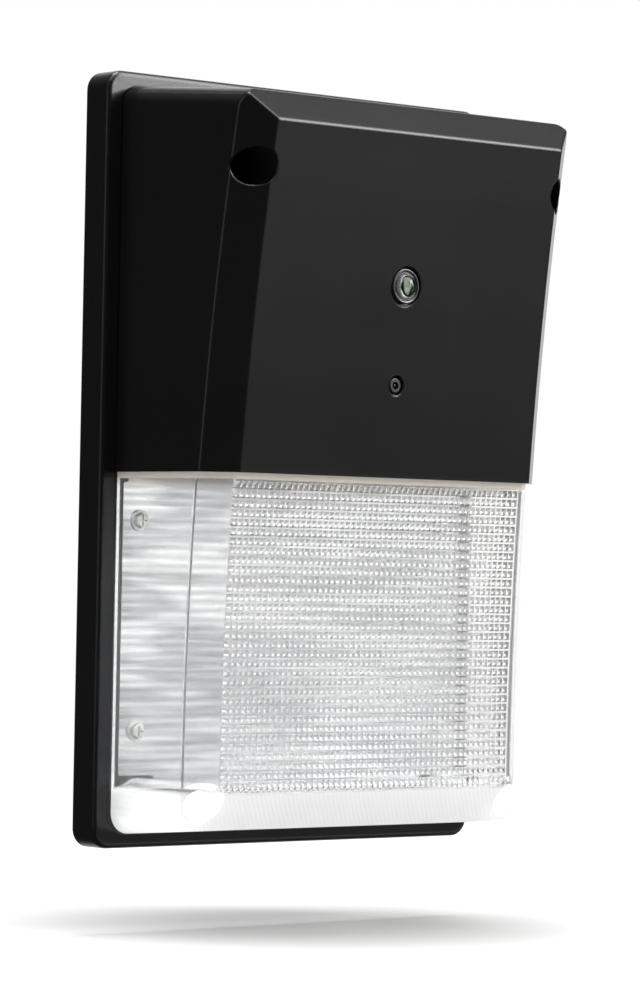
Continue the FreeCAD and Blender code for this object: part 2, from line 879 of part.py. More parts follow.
TUBE_RADIUS = "access_bore / 2 + access_wall"
SCREW_SEAT = f"{COVER_BASE} + access_floor"
RING_ROOM_RADIUS = "retainer_outside / 2 + retainer_clearance"
RING_ROOM_TOP = f"{COVER_BASE} + retainer_thickness + retainer_clearance"
TONGUE = "housing_wall + tongue_clearance"
TONGUE_INSIDE = f"{TONGUE} + lens_wall"
TONGUE_TOP = "seam_height + lens_tongue"
CLIP_LOW = "clip_low"
CLIP_SEAT = front_depth(CLIP_LOW, TONGUE_INSIDE)
CLIP_SCREW_HEIGHT = "clip_low + clip_boss_height"
CLIP_SCREWS = pairs("clip_x", CLIP_SCREW_HEIGHT)
CENTRE_SEAT = "tab_reach + cover_gap"
PHOTOCELL_BACK = "photocell_recess_depth - photocell_seat"
PHOTOCELL = [("0", "photocell_height")]
CENTRE = [("0", "centre_screw_height")]


def housing(outer, inner):
    """The black shell: hollow, open behind and below, with screw tubes and bosses inside."""
    upper = common("housing_block", outer, slab("housing_slab", "seam_height", FAR))
    shell = cut("housing_shell", upper, inner)
    solid_posts = fuse(
        "housing_posts",
        bores("housing_tubes", HOUSING_SCREWS, TUBE_RADIUS, COVER_BASE, FAR),
        bores("photocell_pad", PHOTOCELL, "photocell_boss / 2", PHOTOCELL_BACK, FAR),
        bores("centre_post", CENTRE, "centre_boss / 2", CENTRE_SEAT, FAR),
        bores("clip_posts", CLIP_SCREWS, "small_boss_radius", CLIP_SEAT, FAR),
    )
    kept_posts = common("housing_kept_posts", solid_posts, outer)
    holes = fuse(
        "housing_holes",
        bores("housing_access", HOUSING_SCREWS, "access_bore / 2", SCREW_SEAT, FAR),
        bores("housing_screw_holes", HOUSING_SCREWS, "screw_clearance_hole / 2", "0", FAR),
        bores("housing_ring_seats", HOUSING_SCREWS, RING_ROOM_RADIUS, "0", RING_ROOM_TOP),
        bores("photocell_recess", PHOTOCELL, "photocell_recess / 2", "photocell_recess_depth", FAR),
        bores("photocell_way", PHOTOCELL, "photocell_hole / 2", "plate_depth", FAR),
        bores("centre_recess", CENTRE, "centre_recess / 2", "centre_recess_depth", FAR),
        bores("centre_way", CENTRE, "centre_screw_hole / 2", "plate_depth", FAR),
        bores(
            "clip_holes",
            CLIP_SCREWS,
            SMALL_HOLE,
            "plate_depth",
            f"{CLIP_SEAT} - clip_thickness + small_screw_length + thread_clearance",
        ),
    )
    whole = fuse("housing_whole", shell, kept_posts)
    return named(cut("housing", whole, holes), "housing")


# ================================================================ lens
def prism_ribs(inside):
    """Rows of prisms that run across the inside of the lens's front, each a triangle in section."""
    rows = []
    side = f"({COVER_SIDE} - chamfer_on_front - lens_wall - cover_corner / 2)"
    top = "seam_height - lens_step_height - prism_top_margin"
    room = value(f"{top} - (prism_end_margin - ({COVER_END}))")
    for row in range(int(room / SIZES["prism_pitch"])):
        rib = doc.addObject("Part::Wedge", f"prism_{row}")
        height = f"{top} - {row} * prism_pitch"
        for limit, expression in (
            ("Xmin", minus(side)),
            ("Xmax", side),
            ("X2min", minus(side)),
            ("X2max", side),
            ("Ymin", "0"),
            ("Ymax", "prism_relief + prism_root"),
            ("Zmin", "-prism_pitch"),
            ("Zmax", "0"),
            ("Z2min", "-prism_pitch * prism_lean_ratio"),
            ("Z2max", "-prism_pitch * prism_lean_ratio + prism_crest"),
        ):
            rib.setExpression(limit, bound(expression))
        depth = front_depth(f"{height} - prism_pitch / 2", inside)
        rib.setExpression("Placement.Base.y", bound(minus(f"{depth} + prism_root")))
        rib.setExpression("Placement.Base.z", bound(height))
        rows.append(rib)
    return rows


def lens(outer, inner, tongue, tongue_inside):
    """The clear refractor: a ribbed bowl whose tongue slides up inside the housing's lower edge."""
    step_low = "seam_height - lens_step_height"
    bowl_block = common("lens_block", outer, slab("lens_slab", minus(FAR), "seam_height"))
    tongue_block = common("tongue_block", tongue, slab("tongue_slab", "seam_height", TONGUE_TOP))
    bowl_room = common("lens_room", inner, slab("lens_room_slab", minus(FAR), step_low))
    tongue_room = common("tongue_room", tongue_inside, slab("tongue_room_slab", step_low, FAR))
    walls = cut(
        "lens_walls",
        fuse("lens_body", bowl_block, tongue_block),
        fuse("lens_hollow", bowl_room, tongue_room),
    )
    tubes = common(
        "lens_tubes", bores("lens_tube_rods", LENS_SCREWS, TUBE_RADIUS, COVER_BASE, FAR), outer
    )
    solid = fuse("lens_solid", walls, tubes, *prism_ribs("lens_front_step + lens_wall"))
    holes = fuse(
        "lens_holes",
        bores("lens_access", LENS_SCREWS, "access_bore / 2", SCREW_SEAT, FAR),
        bores("lens_screw_holes", LENS_SCREWS, "screw_clearance_hole / 2", "0", FAR),
        bores("lens_ring_seats", LENS_SCREWS, RING_ROOM_RADIUS, "0", RING_ROOM_TOP),
    )
    return named(cut("lens", solid, holes), "lens")


def lens_seal(inner, tongue):
    """The silicone strip between the lens's tongue and the inside of the housing."""
    low, high = "seam_height + seal_inset", "seam_height + seal_inset + seal_height"
    around = common("seal_block", inner, slab("seal_slab", low, high))
    inside = common("seal_tongue", tongue, slab("seal_tongue_slab", "seam_height", TONGUE_TOP))
    return named(cut("lens_seal", around, inside), "lens_seal")


# ================================================================ fasteners
def screw(name, shank, head, head_height, length, socket=None):
    """A screw at the origin: the tapered head's seat on y = 0, the head out from the wall."""
    body = new_body(name)
    half = sketch_on(body, f"{name}_half", role="XY_Plane")
    polygon(
        half,
        [
            ("0", minus(head_height)),
            (f"({head}) / 2 - ({head_height}) * head_taper_ratio", minus(head_height)),
            (f"({head}) / 2", "0"),
            (f"({shank}) / 2", "0"),
            (f"({shank}) / 2", length),
            ("0", length),
        ],
    )
    turned = body.newObject("PartDesign::Revolution", f"{name}_turned")
    turned.Profile = half
    turned.ReferenceAxis = (half, ["V_Axis"])
    turned.Angle = 360.0
    doc.recompute()
    if socket:
        key = sketch_on(body, f"{name}_socket", offset=head_height)
        hexagon(key, socket)
        pocket(body, f"{name}_key", key, "socket_depth")
    return body


def ring(name, outside, bore, thickness):
    """A flat ring at the origin, its back face on y = 0."""
    body = new_body(name)
    section = sketch_on(body, f"{name}_circles")
    circle(section, "0", "0", f"({outside}) / 2")
    circle(section, "0", "0", f"({bore}) / 2")
    pad(body, f"{name}_pad", section, thickness)
    return body


def screw_group(label, piece, places, depth, turn=None):
    return named(copies(label, piece, at_depth(places, depth), turn), label)


def cover_fasteners():
    """Four captive cover screws, each on a rubber washer and kept by a split ring behind."""
    washer = ring(
        "rubber_washer",
        "cover_screw_head + cover_screw_washer_rim",
        "cover_screw_shank",
        "washer_thickness",
    )
    screw_group("cover_screw_washers", washer, COVER_SCREWS, SCREW_SEAT)
    piece = screw(
        "cover_screw",
        "cover_screw_shank",
        "cover_screw_head",
        "cover_screw_head_height",
        "cover_screw_length",
        socket="cover_screw_socket",
    )
    screw_group("cover_screws", piece, COVER_SCREWS, f"{SCREW_SEAT} + washer_thickness")
    retainer = ring("retainer", "retainer_outside", "cover_screw_shank", "retainer_thickness")
    screw_group("screw_retainers", retainer, COVER_SCREWS, COVER_BASE)


# ================================================================ reflector pan
def reflector_pan():
    """A mirror-bright sheet on the flange, notched round the lens's tongue and its screw tubes."""
    body = new_body("reflector_pan")
    side = f"{COVER_SIDE} - lens_side_step - lens_wall - pan_clearance"
    upper_side = f"{COVER_SIDE} - ({TONGUE_INSIDE}) - pan_clearance"
    shoulder = "seam_height - lens_step_height - pan_clearance"
    notch_x = f"{SCREW_X} - ({TUBE_RADIUS}) - pan_bore_clearance"
    notch_z = f"{SCREW_LOW} + ({TUBE_RADIUS}) + pan_bore_clearance"
    outline = sketch_on(body, "pan_outline", offset="plate_depth")
    polygon(
        outline,
        [
            (minus(upper_side), "pan_top"),
            (minus(upper_side), shoulder),
            (minus(side), shoulder),
            (minus(side), notch_z),
            (minus(notch_x), notch_z),
            (minus(notch_x), PAN_BOTTOM),
            (notch_x, PAN_BOTTOM),
            (notch_x, notch_z),
            (side, notch_z),
            (side, shoulder),
            (upper_side, shoulder),
            (upper_side, "pan_top"),
        ],
    )
    pad(body, "pan_sheet", outline, "pan_thickness")
    round_edges(body, "pan_corners", lambda edge: runs_out(edge), "pan_corner")
    holes = sketch_on(body, "pan_hole_circles", offset="plate_depth + pan_thickness")
    for across, up in PAN_SCREWS:
        circle(holes, across, up, "small_screw_shank / 2 + thread_clearance")
    pocket(body, "pan_holes", holes, "pan_thickness")
    return named(body, "reflector_pan")


# ================================================================ LED bracket, board and chips
def led_bracket():
    """A finned aluminium shelf on the plate, with a front tab that the centre screw pulls on."""
    body = new_body("led_bracket")
    shelf_top = "bracket_shelf_height + bracket_thickness"
    flange_top = f"{shelf_top} + bracket_flange"
    back = minus("plate_depth")
    section = sketch_on(body, "bracket_section", role="YZ_Plane")
    polygon(
        section,
        [
            (back, "bracket_shelf_height"),
            (back, flange_top),
            (f"{back} - bracket_thickness", flange_top),
            (f"{back} - bracket_thickness", shelf_top),
            (minus("bracket_reach"), shelf_top),
            (minus("bracket_reach"), "bracket_shelf_height"),
        ],
    )
    pad(body, "bracket_angle", section, "bracket_length", midplane=True)
    tab = sketch_on(body, "tab_section", role="YZ_Plane")
    polygon(
        tab,
        [
            (minus("bracket_reach - bracket_thickness"), "bracket_shelf_height"),
            (minus("bracket_reach - bracket_thickness"), shelf_top),
            (minus("tab_reach - bracket_thickness"), shelf_top),
            (minus("tab_reach - bracket_thickness"), "tab_top"),
            (minus("tab_reach"), "tab_top"),
            (minus("tab_reach"), "bracket_shelf_height"),
        ],
    )
    pad(body, "bracket_tab", tab, "2 * tab_half_width", midplane=True)
    fin = sketch_on(body, "fin_outline", role="YZ_Plane", offset="-fin_pitch * (fin_count - 1) / 2")
    rectangle(
        fin,
        minus("bracket_reach - fin_margin / 2"),
        shelf_top,
        f"{back} - bracket_thickness - fin_margin",
        f"{shelf_top} + fin_height",
    )
    first_fin = pad(body, "first_fin", fin, "fin_thickness", midplane=True)
    fins = body.newObject("PartDesign::LinearPattern", "fins")
    fins.Originals = [first_fin]
    fins.Direction = (plane(body, "X_Axis"), [""])
    fins.setExpression("Length", bound("fin_pitch * (fin_count - 1)"))
    fins.setExpression("Occurrences", bound("fin_count"))
    body.Tip = fins
    doc.recompute()
    flange_holes = sketch_on(body, "flange_hole_circles", offset="plate_depth + bracket_thickness")
    for across, up in BRACKET_SCREWS:
        circle(flange_holes, across, up, SMALL_HOLE)
    pocket(body, "flange_holes", flange_holes, "bracket_thickness")
    tab_hole = sketch_on(body, "tab_hole_circle", offset="tab_reach")
    circle(tab_hole, "0", "centre_screw_height", "centre_screw_shank / 2 + thread_clearance")
    pocket(body, "tab_hole", tab_hole, "bracket_thickness")
    board_holes = sketch_on(body, "shelf_hole_circles", role="XY_Plane", offset=shelf_top)
    for across, depth in board_screw_places():
        circle(board_holes, across, minus(depth), "board_screw_shank / 2 + thread_clearance")
    pocket(body, "shelf_holes", board_holes, "bracket_thickness")
    return named(body, "led_bracket")


def board_screw_places():
    return [
        (f"{sign} * board_screw_x", f"board_centre_depth + {other} * board_screw_offset")
        for sign in MIRRORED
        for other in MIRRORED
    ]


def led_board():
    """The LED board under the shelf, its chips and the four screws that hold it up."""
    board_top = "bracket_shelf_height"
    body = new_body("led_board")
    outline = sketch_on(body, "board_outline", role="XY_Plane", offset=board_top)
    rectangle(
        outline,
        "-board_length / 2",
        "-board_centre_depth - board_depth / 2",
        "board_length / 2",
        "-board_centre_depth + board_depth / 2",
    )
    pad(body, "board_sheet", outline, "board_thickness", reverse=True)
    holes = sketch_on(body, "board_hole_circles", role="XY_Plane", offset=board_top)
    for across, depth in board_screw_places():
        circle(holes, across, minus(depth), "board_screw_shank / 2 + thread_clearance")
    pocket(body, "board_holes", holes, "board_thickness")
    named(body, "led_board")

    chip = doc.addObject("Part::Box", "led_chip")
    chip.setExpression("Length", bound("chip_size"))
    chip.setExpression("Width", bound("chip_size"))
    chip.setExpression("Height", bound("chip_thickness"))
    places = []
    for column in range(int(SIZES["chip_columns"])):
        for row in range(int(SIZES["chip_rows"])):
            across = f"({column} - (chip_columns - 1) / 2) * chip_pitch - chip_size / 2"
            depth = f"board_centre_depth + ({row} - (chip_rows - 1) / 2) * chip_row_pitch + chip_size / 2"
            places.append((across, depth, f"{board_top} - board_thickness - chip_thickness"))
    named(copies("led_chips", chip, places), "led_chips")

    piece = screw(
        "board_screw",
        "board_screw_shank",
        "board_screw_head",
        "board_screw_head_height",
        "board_thickness + bracket_thickness",
    )
    upward = Rotation(Vector(1, 0, 0), 90)
    places = [
        (across, depth, f"{board_top} - board_thickness") for across, depth in board_screw_places()
    ]
    named(copies("led_board_screws", piece, places, upward), "led_board_screws")


# ================================================================ driver and terminals
def driver():
    """The driver's case with its two fixing ears, and its lid."""
    body = new_body("driver_case")
    outline = sketch_on(body, "driver_outline", offset="plate_floor")
    rounded_rectangle(
        outline,
        "driver_length / 2",
        f"{DRIVER_MIDDLE} - driver_height / 2",
        f"{DRIVER_MIDDLE} + driver_height / 2",
        "driver_corner",
    )
    pad(body, "driver_block", outline, "driver_depth")
    room = sketch_on(body, "driver_room_outline", offset="plate_floor + driver_depth")
    rounded_rectangle(
        room,
        "driver_length / 2 - driver_wall",
        f"{DRIVER_MIDDLE} - driver_height / 2 + driver_wall",
        f"{DRIVER_MIDDLE} + driver_height / 2 - driver_wall",
        "driver_corner - driver_wall",
    )
    pocket(body, "lid_seat", room, "driver_lid_thickness")
    ears = sketch_on(body, "driver_ear_outline", offset="plate_floor + low_boss_height")
    rectangle(
        ears,
        "-driver_length / 2 - driver_tab",
        f"{DRIVER_MIDDLE} - driver_tab / 2",
        "driver_length / 2 + driver_tab",
        f"{DRIVER_MIDDLE} + driver_tab / 2",
    )
    pad(body, "driver_ears", ears, "driver_tab_thickness")
    ear_depth = "plate_floor + low_boss_height + driver_tab_thickness"
    holes = sketch_on(body, "driver_ear_circles", offset=ear_depth)
    for across, up in DRIVER_SCREWS:
        circle(holes, across, up, SMALL_HOLE)
    pocket(body, "driver_ear_holes", holes, "driver_tab_thickness")
    named(body, "driver_case")
    lid = new_body("driver_lid")
    sheet_outline = sketch_on(
        lid, "lid_outline", offset="plate_floor + driver_depth - driver_lid_thickness"
    )
    rounded_rectangle(
        sheet_outline,
        "driver_length / 2 - driver_wall",
        f"{DRIVER_MIDDLE} - driver_height / 2 + driver_wall",
        f"{DRIVER_MIDDLE} + driver_height / 2 - driver_wall",
        "driver_corner - driver_wall",
    )
    pad(lid, "lid_sheet", sheet_outline, "driver_lid_thickness")
    named(lid, "driver_lid")


def terminal_block():
    """The supply terminals: a block on two ears, with a wire way and a clamp screw for each pole."""
    body = new_body("terminal_block")
    base = "plate_floor + low_boss_height"
    ears = sketch_on(body, "terminal_ear_outline", offset=base)
    rectangle(
        ears,
        "-terminal_length / 2 - terminal_ear",
        "terminal_middle - terminal_height / 2",
        "terminal_length / 2 + terminal_ear",
        "terminal_middle + terminal_height / 2",
    )
    pad(body, "terminal_ears", ears, "driver_tab_thickness")
    block = sketch_on(body, "terminal_outline", offset=base)
    rectangle(
        block,
        "-terminal_length / 2",
        "terminal_middle - terminal_height / 2",
        "terminal_length / 2",
        "terminal_middle + terminal_height / 2",
    )
    pad(body, "terminal_body", block, "terminal_depth")
    holes = sketch_on(body, "terminal_ear_circles", offset=f"{base} + driver_tab_thickness")
    for across, up in TERMINAL_SCREWS:
        circle(holes, across, up, SMALL_HOLE)
    pocket(body, "terminal_ear_holes", holes, "driver_tab_thickness")
    poles = [
        f"({pole} - (terminal_poles - 1) / 2) * terminal_length / terminal_poles"
        for pole in range(int(SIZES["terminal_poles"]))
    ]
    wires = sketch_on(
        body, "wire_way_circles", role="XY_Plane", offset="terminal_middle + terminal_height / 2"
    )
    for across in poles:
        circle(wires, across, minus(f"{base} + terminal_wire_depth"), "terminal_wire_hole / 2")
    pocket(body, "wire_ways", wires, "terminal_height")
    clamps = sketch_on(body, "clamp_circles", offset=f"{base} + terminal_depth")
    for across in poles:
        circle(clamps, across, "terminal_middle", "terminal_screw / 2 + thread_clearance")
    pocket(body, "clamp_ways", clamps, "terminal_depth - terminal_wire_depth")
    named(body, "terminal_block")
    piece = headless_screw("clamp_screw", "terminal_screw", "clamp_screw_length")
    sunk = f"{base} + terminal_depth - clamp_screw_sink"
    places = [(across, sunk, "terminal_middle") for across in poles]
    named(copies("terminal_clamp_screws", piece, places), "terminal_clamp_screws")


def headless_screw(name, shank, length):
    """A headless slotted screw at the origin that runs in towards the wall."""
    body = new_body(name)
    section = sketch_on(body, f"{name}_circle")
    circle(section, "0", "0", f"({shank}) / 2")
    pad(body, f"{name}_rod", section, length, reverse=True)
    slot_sketch = sketch_on(body, f"{name}_slot_outline")
    rectangle(
        slot_sketch,
        minus(shank),
        minus("clamp_slot_width / 2"),
        shank,
        "clamp_slot_width / 2",
    )
    pocket(body, f"{name}_slot", slot_sketch, "clamp_slot_depth")
    return body


# ================================================================ photocell and centre screw
def photocell():
    """The dusk sensor: a threaded barrel with a bezel, a clear dome, the cell, its seal and nut."""
    seat = "photocell_recess_depth"
    bezel_seat = f"{seat} + photocell_gasket_thickness"
    gasket = ring("photocell_gasket", "photocell_bezel", "photocell_hole", "photocell_gasket_thickness")
    place(gasket, seat, "photocell_height")
    named(gasket, "photocell_gasket")
    bezel = ring("photocell_bezel", "photocell_bezel", "photocell_dome", "photocell_bezel_thickness")
    chamfer_rim(bezel, "bezel_edge", "photocell_bezel_thickness", "bezel_chamfer")
    place(bezel, bezel_seat, "photocell_height")
    named(bezel, "photocell_bezel")
    barrel = new_body("photocell_body")
    tube = sketch_on(barrel, "barrel_circle", offset=f"{bezel_seat} - photocell_barrel_length")
    circle(tube, "0", "photocell_height", "photocell_barrel / 2")
    pad(barrel, "barrel_rod", tube, "photocell_barrel_length")
    well = sketch_on(barrel, "cell_well_circle", offset=bezel_seat)
    circle(well, "0", "photocell_height", "photocell_dome / 2")
    pocket(barrel, "cell_well", well, "cell_well_depth")
    named(barrel, "photocell_body")
    cell = new_body("photocell_sensor")
    disc = sketch_on(cell, "cell_circle", offset=f"{bezel_seat} - cell_well_depth")
    circle(disc, "0", "photocell_height", "photocell_sensor / 2")
    pad(cell, "cell_disc", disc, "cell_thickness")
    named(cell, "photocell_sensor")
    dome = new_body("photocell_dome")
    dome_base = f"{bezel_seat} - cell_well_depth + cell_thickness + cell_air"
    cap = sketch_on(dome, "dome_circle", offset=dome_base)
    circle(cap, "0", "photocell_height", "photocell_dome / 2 - dome_clearance")
    front = f"{bezel_seat} + photocell_bezel_thickness + photocell_dome_rise"
    pad(dome, "dome_rod", cap, f"{front} - ({dome_base})")
    chamfer_rim(dome, "dome_edge", front, "dome_chamfer")
    named(dome, "photocell_dome")
    nut = new_body("photocell_nut")
    nut_section = sketch_on(nut, "nut_hexagon")
    hexagon(nut_section, "photocell_nut")
    circle(nut_section, "0", "0", "photocell_barrel / 2 + thread_clearance")
    pad(nut, "nut_pad", nut_section, "photocell_nut_thickness")
    place(nut, f"{PHOTOCELL_BACK} - photocell_nut_thickness", "photocell_height")
    named(nut, "photocell_nut")


def lens_clips():
    """Two spring-steel clips that clamp the lens's tongue to the housing's front wall."""
    clip = new_body("lens_clip")
    face = sketch_on(clip, "clip_outline")
    rectangle(face, "-clip_width / 2", "0", "clip_width / 2", "clip_height")
    pad(clip, "clip_sheet", face, "clip_thickness", reverse=True)
    hole = sketch_on(clip, "clip_hole_circle")
    circle(hole, "0", "clip_boss_height", SMALL_HOLE)
    pocket(clip, "clip_hole", hole, "clip_thickness")
    places = [(f"{sign} * clip_x", CLIP_SEAT, CLIP_LOW) for sign in MIRRORED]
    named(copies("lens_clips", clip, places), "lens_clips")


# ================================================================ assembly
def main():
    back_plate()
    gaskets()
    reflector_pan()
    led_bracket()
    led_board()
    driver()
    terminal_block()

    outer = cover_form("housing_outside", "0", "0")
    round_corners(outer, "housing_corners", "cover_corner", True)
    round_ridges(outer, "housing_ridges")
    inner = cover_form("housing_inside", "housing_wall", "housing_wall", thickness="housing_wall")
    housing(outer, inner)
    bowl = cover_form("lens_outside", "lens_side_step", "lens_front_step", low_end=True)
    round_corners(bowl, "lens_corners", "lens_corner", False)
    round_ridges(bowl, "lens_ridges")
    bowl_inside = cover_form(
        "lens_inside",
        "lens_side_step + lens_wall",
        "lens_front_step + lens_wall",
        low_end=True,
        thickness="lens_wall",
    )
    round_corners(bowl_inside, "lens_inside_corners", "lens_corner - lens_wall", False)
    tongue = cover_form("tongue_outside", TONGUE, TONGUE, thickness=TONGUE)
    tongue_inside = cover_form("tongue_inside", TONGUE_INSIDE, TONGUE_INSIDE, thickness=TONGUE_INSIDE)
    lens(bowl, bowl_inside, tongue, tongue_inside)
    lens_seal(inner, tongue)
    lens_clips()
    cover_fasteners()
    photocell()

    small = screw(
        "small_screw",
        "small_screw_shank",
        "small_screw_head",
        "small_screw_head_height",
        "small_screw_length",
    )
    screw_group("reflector_screws", small, PAN_SCREWS, "plate_depth + pan_thickness")
    screw_group("bracket_screws", small, BRACKET_SCREWS, "plate_depth + bracket_thickness")
    ear = "plate_floor + low_boss_height + driver_tab_thickness"
    screw_group("driver_screws", small, DRIVER_SCREWS, ear)
    screw_group("terminal_screws", small, TERMINAL_SCREWS, ear)
    screw_group("earth_screw", small, EARTH_SCREW, "plate_floor + low_boss_height")
    outward = Rotation(Vector(1, 0, 0), 180)
    clip_head = f"{CLIP_SEAT} - clip_thickness"
    screw_group("clip_screws", small, CLIP_SCREWS, clip_head, outward)
    centre = screw(
        "centre_screw",
        "centre_screw_shank",
        "centre_screw_head",
        "centre_screw_head_height",
        "centre_recess_depth - tab_reach + bracket_thickness",
        socket="centre_screw_socket",
    )
    place(centre, "centre_recess_depth", "centre_screw_height")
    named(centre, "centre_screw")

    doc.recompute()
    for feature in doc.Objects:
        if {"Invalid", "Error"} & set(feature.State):
            raise RuntimeError(f"{feature.Label} did not build: {feature.State}")
    for part in SUB_PARTS:
        if part.Shape.isNull() or not part.Shape.isValid():
            raise RuntimeError(f"{part.Label} has no valid shape")
    os.makedirs("parts", exist_ok=True)
    for part in SUB_PARTS:
        part.Shape.exportStep(f"parts/{part.Label}.step")
        solids = len(part.Shape.Solids)
        print(f"{part.Label}: {solids} solid(s), {part.Shape.Volume / 1000:.2f} cm3")


main()
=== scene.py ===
"""Looks of an outdoor wall pack light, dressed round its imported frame.

Lengths are metres. The wall is y = 0, the front looks along -Y and Z is up.
"""

from __future__ import annotations

import logging
import math
from contextlib import contextmanager
from dataclasses import dataclass
from enum import Enum
from typing import Callable, Iterator, Mapping, Sequence

import bmesh
import bpy
from mathutils import Matrix, Vector

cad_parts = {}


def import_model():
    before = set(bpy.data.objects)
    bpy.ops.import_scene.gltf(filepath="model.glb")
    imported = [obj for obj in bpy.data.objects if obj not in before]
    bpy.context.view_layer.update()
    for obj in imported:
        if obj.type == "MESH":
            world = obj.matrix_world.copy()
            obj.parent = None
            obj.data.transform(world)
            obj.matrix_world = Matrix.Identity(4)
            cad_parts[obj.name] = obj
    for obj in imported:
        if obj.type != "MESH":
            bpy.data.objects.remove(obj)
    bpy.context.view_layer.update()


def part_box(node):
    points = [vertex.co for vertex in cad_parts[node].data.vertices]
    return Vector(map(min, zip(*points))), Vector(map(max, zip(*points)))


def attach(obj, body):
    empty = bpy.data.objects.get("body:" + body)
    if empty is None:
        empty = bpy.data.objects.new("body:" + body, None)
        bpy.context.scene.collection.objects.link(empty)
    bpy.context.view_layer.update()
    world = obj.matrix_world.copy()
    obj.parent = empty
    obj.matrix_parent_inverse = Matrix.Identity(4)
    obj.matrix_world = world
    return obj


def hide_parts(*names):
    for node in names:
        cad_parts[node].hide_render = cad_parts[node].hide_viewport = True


LOG = logging.getLogger("wall_pack")
MM = 0.001
NEAR = 0.02 * MM
OVERLAP = 0.2 * MM
QUARTER = math.pi / 2
FACING = 0.9
Colour = tuple[float, float, float]
Span = tuple[float, float]
WHITE: Colour = (1.0, 1.0, 1.0)


class Body(Enum):
    """The two bodies that the pieces ride on."""

    WALL = "wall_unit"
    COVER = "front_cover"


class Element(Enum):
    """What an edit works on."""

    VERT = "VERT"
    EDGE = "EDGE"
    FACE = "FACE"


class Side(Enum):
    """Where a flat end looks: the sign of its normal's y."""

    FRONT = -1
    WALL = 1


class Operation(Enum):
    """How a boolean joins two meshes."""

    CUT = "DIFFERENCE"
    FUSE = "UNION"


# ---- shader maths
class Signal:
    """A socket that adds Math nodes when it is used in an expression."""

    def __init__(self, graph: "Graph", socket: bpy.types.NodeSocket) -> None:
        """Wraps one output socket of the graph."""
        self.graph = graph
        self.socket = socket

    def __add__(self, other: "Number") -> "Signal":
        """Sum."""
        return self.graph.math("ADD", self, other)

    def __radd__(self, other: "Number") -> "Signal":
        """Sum, with the number first."""
        return self.graph.math("ADD", other, self)

    def __sub__(self, other: "Number") -> "Signal":
        """Difference."""
        return self.graph.math("SUBTRACT", self, other)

    def __rsub__(self, other: "Number") -> "Signal":
        """Difference, with the number first."""
        return self.graph.math("SUBTRACT", other, self)

    def __mul__(self, other: "Number") -> "Signal":
        """Product."""
        return self.graph.math("MULTIPLY", self, other)

    def __rmul__(self, other: "Number") -> "Signal":
        """Product, with the number first."""
        return self.graph.math("MULTIPLY", other, self)

    def between(self, low: float, high: float) -> "Signal":
        """Rises smoothly from 0 at low to 1 at high, or falls where low is above high."""
        start, end, flip = (low, high, False) if low < high else (high, low, True)
        node = self.graph.node(
            "ShaderNodeMapRange",
            {"interpolation_type": "SMOOTHSTEP"},
            {"Value": self, "From Min": start, "From Max": end},
        )
        rise = Signal(self.graph, node.outputs["Result"])
        return 1 - rise if flip else rise

    def window(self, first: Span, last: Span) -> "Signal":
        """1 where both spans are passed: the first fades it in and the last fades it out."""
        return self.between(*first) * self.between(*last)


Number = Signal | float


